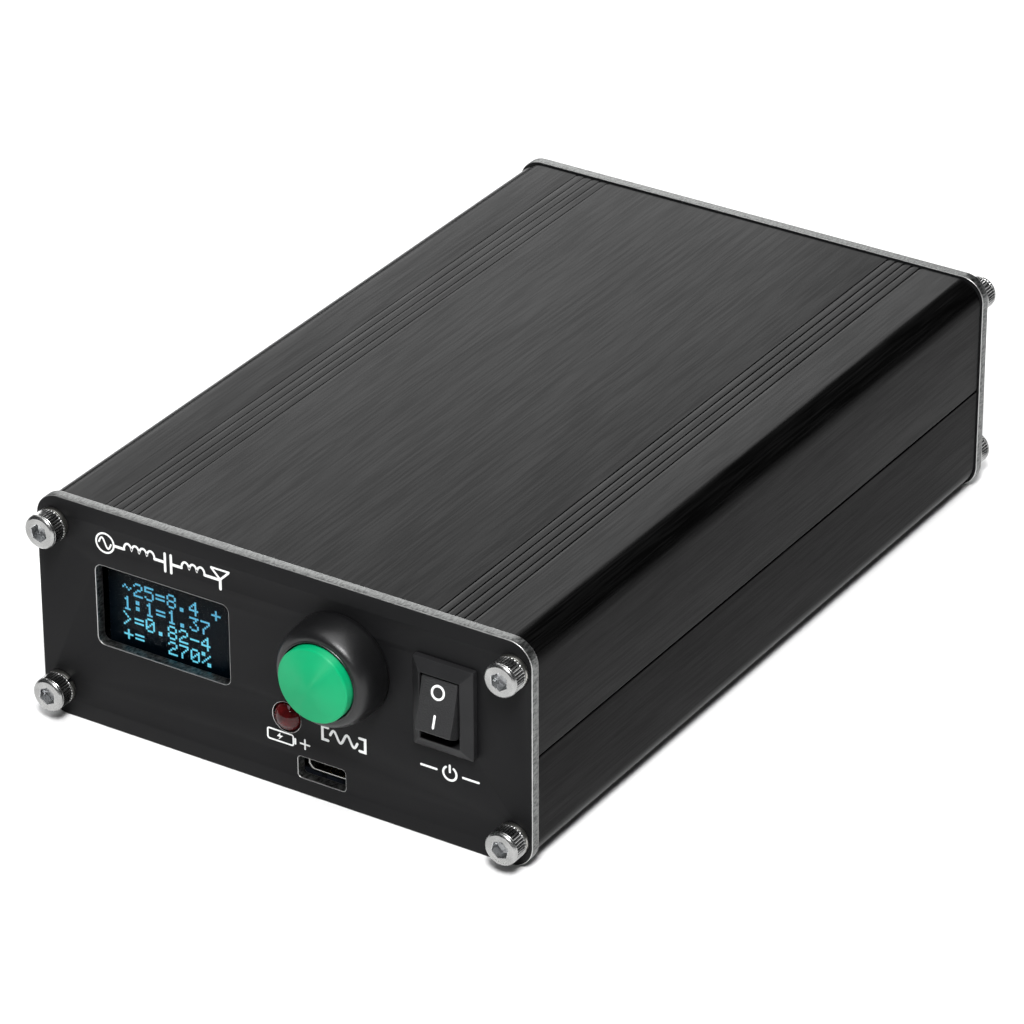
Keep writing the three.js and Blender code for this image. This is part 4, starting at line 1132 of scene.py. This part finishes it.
def make_prints():
    # the tuning network: a wave, series coils, capacitors and an aerial
    title = Print()
    y = 32.2
    wave = [(-32.5 + 2.2 * i / 24, y + 0.85 * math.sin(TAU * i / 24)) for i in range(25)]
    title.line(circle(-31.4, y, 1.62, 48), 0.3, closed=True)
    title.line(wave, 0.28)
    title.line([(-29.6, y), (-27.9, y)])
    title.line(loops(-27.9, -22.3, y, 4, 1.1), 0.34)
    title.line([(-22.3, y), (-20.7, y)])
    title.line([(-20.4, y - 1.5), (-20.4, y + 1.5)], 0.42)
    title.line([(-19.3, y - 1.5), (-19.3, y + 1.5)], 0.42)
    title.line([(-19.0, y), (-17.4, y)])
    title.line(loops(-17.4, -13.2, y, 3, 1.1), 0.34)
    title.line([(-13.2, y), (-10.4, y)])
    title.line([(-10.4, y - 1.5), (-10.4, y + 0.2)])
    title.line([(-11.9, y + 1.6), (-10.4, y + 0.1), (-8.9, y + 1.6)], 0.34)
    title.line([(-12.0, y + 1.75), (-8.8, y + 1.75)], 0.3)
    title.make("print_network_symbol")

    # charging: a cell with a bolt, and a plug end
    charge = Print()
    y = 8.5
    charge.line(rounded_rectangle(-0.3, y, 4.6, 1.8, 0.3, 4), 0.26, closed=True)
    charge.line([(2.35, y - 0.4), (2.35, y + 0.4)], 0.36)
    bolt = [(-0.15, 0.62), (-0.75, -0.12), (-0.2, -0.12), (-0.5, -0.64), (0.35, 0.16), (-0.15, 0.16)]
    charge.add([(u - 0.2, y + v) for u, v in bolt])
    charge.line([(3.3, y), (4.9, y)], 0.28)
    charge.line([(4.1, y - 0.8), (4.1, y + 0.8)], 0.28)
    charge.make("print_charge_symbol")

    # tuning: a wave between two brackets
    tune = Print()
    y = 11.65
    tune.line([(8.3, y + 1.1), (7.3, y + 1.1), (7.3, y - 1.1), (8.3, y - 1.1)])
    tune.line([(13.9, y + 1.1), (14.9, y + 1.1), (14.9, y - 1.1), (13.9, y - 1.1)])
    tune.line([(8.7 + 4.8 * i / 40, y + 0.85 * math.sin(2 * TAU * i / 40)) for i in range(41)], 0.42)
    tune.make("print_tune_symbol")

    # power: a broken ring with a bar, between two short rules
    power = Print()
    x, y = 29.75, 11.9
    power.line(arc(x, y, 1.15, 125, 415, 40), 0.36)
    power.line([(x, y + 0.25), (x, y + 1.35)], 0.36)
    for side in (-1, 1):
        power.line([(x + side * 2.3, y), (x + side * 5.0, y)], 0.36)
    power.make("print_power_symbol")


# ---- rear coaxial sockets
RF_BORE = 6.0
RF_FLANGE_RADIUS = 10.0
RF_FLANGE = 2
INSULATOR_RADIUS = 5.7
INSULATOR_BORE = 3.1
INSULATOR_FRONT = 5
CONTACT_RADIUS = 2.8
CONTACT_BORE = 2.0
CONTACT_BORE_DEPTH = 10
CONTACT_TAIL_RADIUS = 1.6
CONTACT_TAIL = 7
RF_PITCH = 1.06
RF_THREAD_DEPTH = 0.42
NUT_FLATS = 19


def make_rear_sockets():
    reach = corners("rf_output_socket")[1].y - REAR_Y
    flange = -PLATE - 0.05
    back = flange - RF_FLANGE

    def thread(angle, radius, w):
        if radius < RF_RADIUS - 0.01:
            return radius
        phase = (w / RF_PITCH - angle / TAU) % 1
        fade = max(0.0, min(1.0, (w - 0.2) / 0.8, (reach - 0.5 - w) / 0.8))
        return radius - RF_THREAD_DEPTH * fade * (1 - abs(2 * phase - 1))

    across = NUT_FLATS / 2
    corner = across / math.cos(math.pi / 6)

    def hexed(angle, radius, w):
        """A hexagon whose corners are turned off at both faces."""
        if radius < across - 0.1:
            return radius
        sixth = math.pi / 3
        flat = across / math.cos((angle + sixth) % sixth - sixth / 2)
        return min(flat, radius)

    steps = 100
    rim = RF_FLANGE_RADIUS
    profile = [(RF_BORE, back), (rim - 0.1, back), (rim, back + 0.1)]
    profile += [(rim, flange - 0.1), (rim - 0.1, flange)]
    profile += [(RF_RADIUS, flange)]
    for i in range(steps + 1):
        profile.append((RF_RADIUS, 0.1 + (reach - 0.7) * i / steps))
    profile += [(RF_RADIUS - 0.6, reach), (RF_BORE + 0.2, reach), (RF_BORE, reach - 0.2)]
    for name, side in (("input", -1), ("output", 1)):
        to = out_of_rear(side * RF_X, RF_Z)
        base = f"rf_{name}_"
        body = Shape(to).turned(profile, 72, closed=True, shape=thread)
        body.stand_in(f"detail_{base}socket", base + "socket", [NICKEL], "nickel", sharp=40)
        section = [
            (INSULATOR_BORE, back - 1.5, 0.1),
            (INSULATOR_RADIUS, back - 1.5, 0.2),
            (INSULATOR_RADIUS, INSULATOR_FRONT, 0.25),
            (INSULATOR_BORE, INSULATOR_FRONT, 0.15),
        ]
        ring = Shape(to).turned(filleted(section, 3), 64, closed=True)
        ring.stand_in(f"detail_{base}insulator", base + "insulator", [PTFE], "insulator_white")
        tip = reach - 1
        pin = Shape(to).turned(
            filleted(
                [
                    (0, back - CONTACT_TAIL, 0),
                    (CONTACT_TAIL_RADIUS, back - CONTACT_TAIL, 0.3),
                    (CONTACT_TAIL_RADIUS, back - 2, 0.1),
                    (CONTACT_RADIUS, back - 2, 0.2),
                    (CONTACT_RADIUS, tip, 0.2),
                    (CONTACT_BORE + 0.15, tip, 0.05),
                    (CONTACT_BORE, tip - 0.3, 0.05),
                    (CONTACT_BORE, tip - CONTACT_BORE_DEPTH, 0.1),
                    (0, tip - CONTACT_BORE_DEPTH, 0),
                ],
                3,
                closed=False,
            ),
            64,
        )
        pin.stand_in(f"detail_{base}contact", base + "contact", [GOLD], "contact_gold")

        nut = Shape(to).turned(
            [
                (8.1, 0.3),
                (8.35, 0.05),
                (across + 0.1, 0.05),
                (corner, 0.6),
                (corner, 1.95),
                (across + 0.1, 2.55),
                (8.35, 2.55),
                (8.1, 2.3),
            ],
            144,
            closed=True,
            shape=hexed,
        )
        nut.stand_in(f"detail_{base}nut", base + "nut", [NICKEL], "nickel", sharp=20)


# ---- pieces kept from the frame
KEPT = (
    (BOARD_BLACK, "display_board charge_board"),
    (BOARD_GREEN, "main_board"),
    (NICKEL, "tune_button_nut"),
    (RELAY, "inductor_relay_bank capacitor_relay_bank"),
    (CAPACITOR, "tuning_capacitors"),
    (BLACK, "controller_chip"),
    (FERRITE, "coupler_transformer"),
    (WRAP, "battery_pack"),
    (SLEEVE, "display_lead rf_input_lead rf_output_lead"),
    (SLEEVE_RED, "button_lead switch_lead battery_lead"),
    (TOROID, "toroid_inductor_1 toroid_inductor_2 toroid_inductor_3 toroid_inductor_4"),
    (COPPER, "air_coil_inductor_1 air_coil_inductor_2 air_coil_inductor_3"),
)


def finish_kept_nodes():
    for finish, nodes in KEPT:
        for node in nodes.split():
            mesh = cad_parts[node].data
            mesh.materials.clear()
            mesh.materials.append(finish)


# ---- floor, lights and camera
def make_floor():
    made = Finish("floor", colour(244, 244, 244), 0.6)
    broad = made.noise(400, detail=1.0)
    made.shade(broad, 0.005)
    reach = 4000
    low = plate_low.z - 0.05
    shape = Shape()
    shape.box(-reach, reach, -reach, reach, low - 20, low, edge=1)
    mesh = bpy.data.meshes.new("studio_floor")
    mesh.from_pydata([p * MM for p in shape.points], [], shape.faces)
    mesh.materials.append(made.material)
    floor = bpy.data.objects.new("studio_floor", mesh)
    scene.collection.objects.link(floor)


def make_light(name, place, target, width, height, power):
    light = bpy.data.lights.new(name, "AREA")
    light.shape = "RECTANGLE"
    light.size = width
    light.size_y = height
    light.energy = power
    lamp = bpy.data.objects.new(name, light)
    lamp.location = place
    lamp.rotation_euler = (Vector(target) - Vector(place)).to_track_quat("-Z", "Y").to_euler()
    scene.collection.objects.link(lamp)


def make_studio():
    world = bpy.data.worlds.new("studio")
    scene.world = world
    world.use_nodes = True
    background = world.node_tree.nodes["Background"]
    background.inputs["Color"].default_value = (0.92, 0.96, 1.0, 1)
    background.inputs["Strength"].default_value = 0.08
    middle = (0, 0, 0.02)
    make_light("softbox_back_left", (-0.66, 0.9, 0.58), middle, 0.6, 0.6, 5.6)
    make_light("softbox_key", (0.40, -0.68, 1.02), middle, 0.28, 0.36, 19)
    make_light("softbox_overhead", (0.1, -0.1, 1.5), middle, 1.2, 1.2, 15)


def make_camera():
    camera = bpy.data.cameras.new("camera")
    camera.sensor_width = 36.0
    camera.lens = 196.4
    camera.clip_start = 0.05
    camera.clip_end = 50.0
    right = Vector((0.8442, 0.53602, -0.00386))
    down = Vector((0.2583, -0.4131, -0.87329))
    ahead = Vector((-0.46969, 0.73623, -0.48719))
    holder = bpy.data.objects.new("camera", camera)
    turn = Matrix((right, -down, -ahead)).transposed()
    holder.matrix_world = Matrix.Translation((0.4104, -0.6483, 0.4423)) @ turn.to_4x4()
    scene.collection.objects.link(holder)
    scene.camera = holder


# ---- everything
scene.view_settings.view_transform = "Standard"
make_shells()
make_plates()
make_fasteners()
make_display()
make_button()
make_rocker()
make_charging()
make_prints()
make_rear_sockets()
finish_kept_nodes()
make_floor()
make_studio()
make_camera()
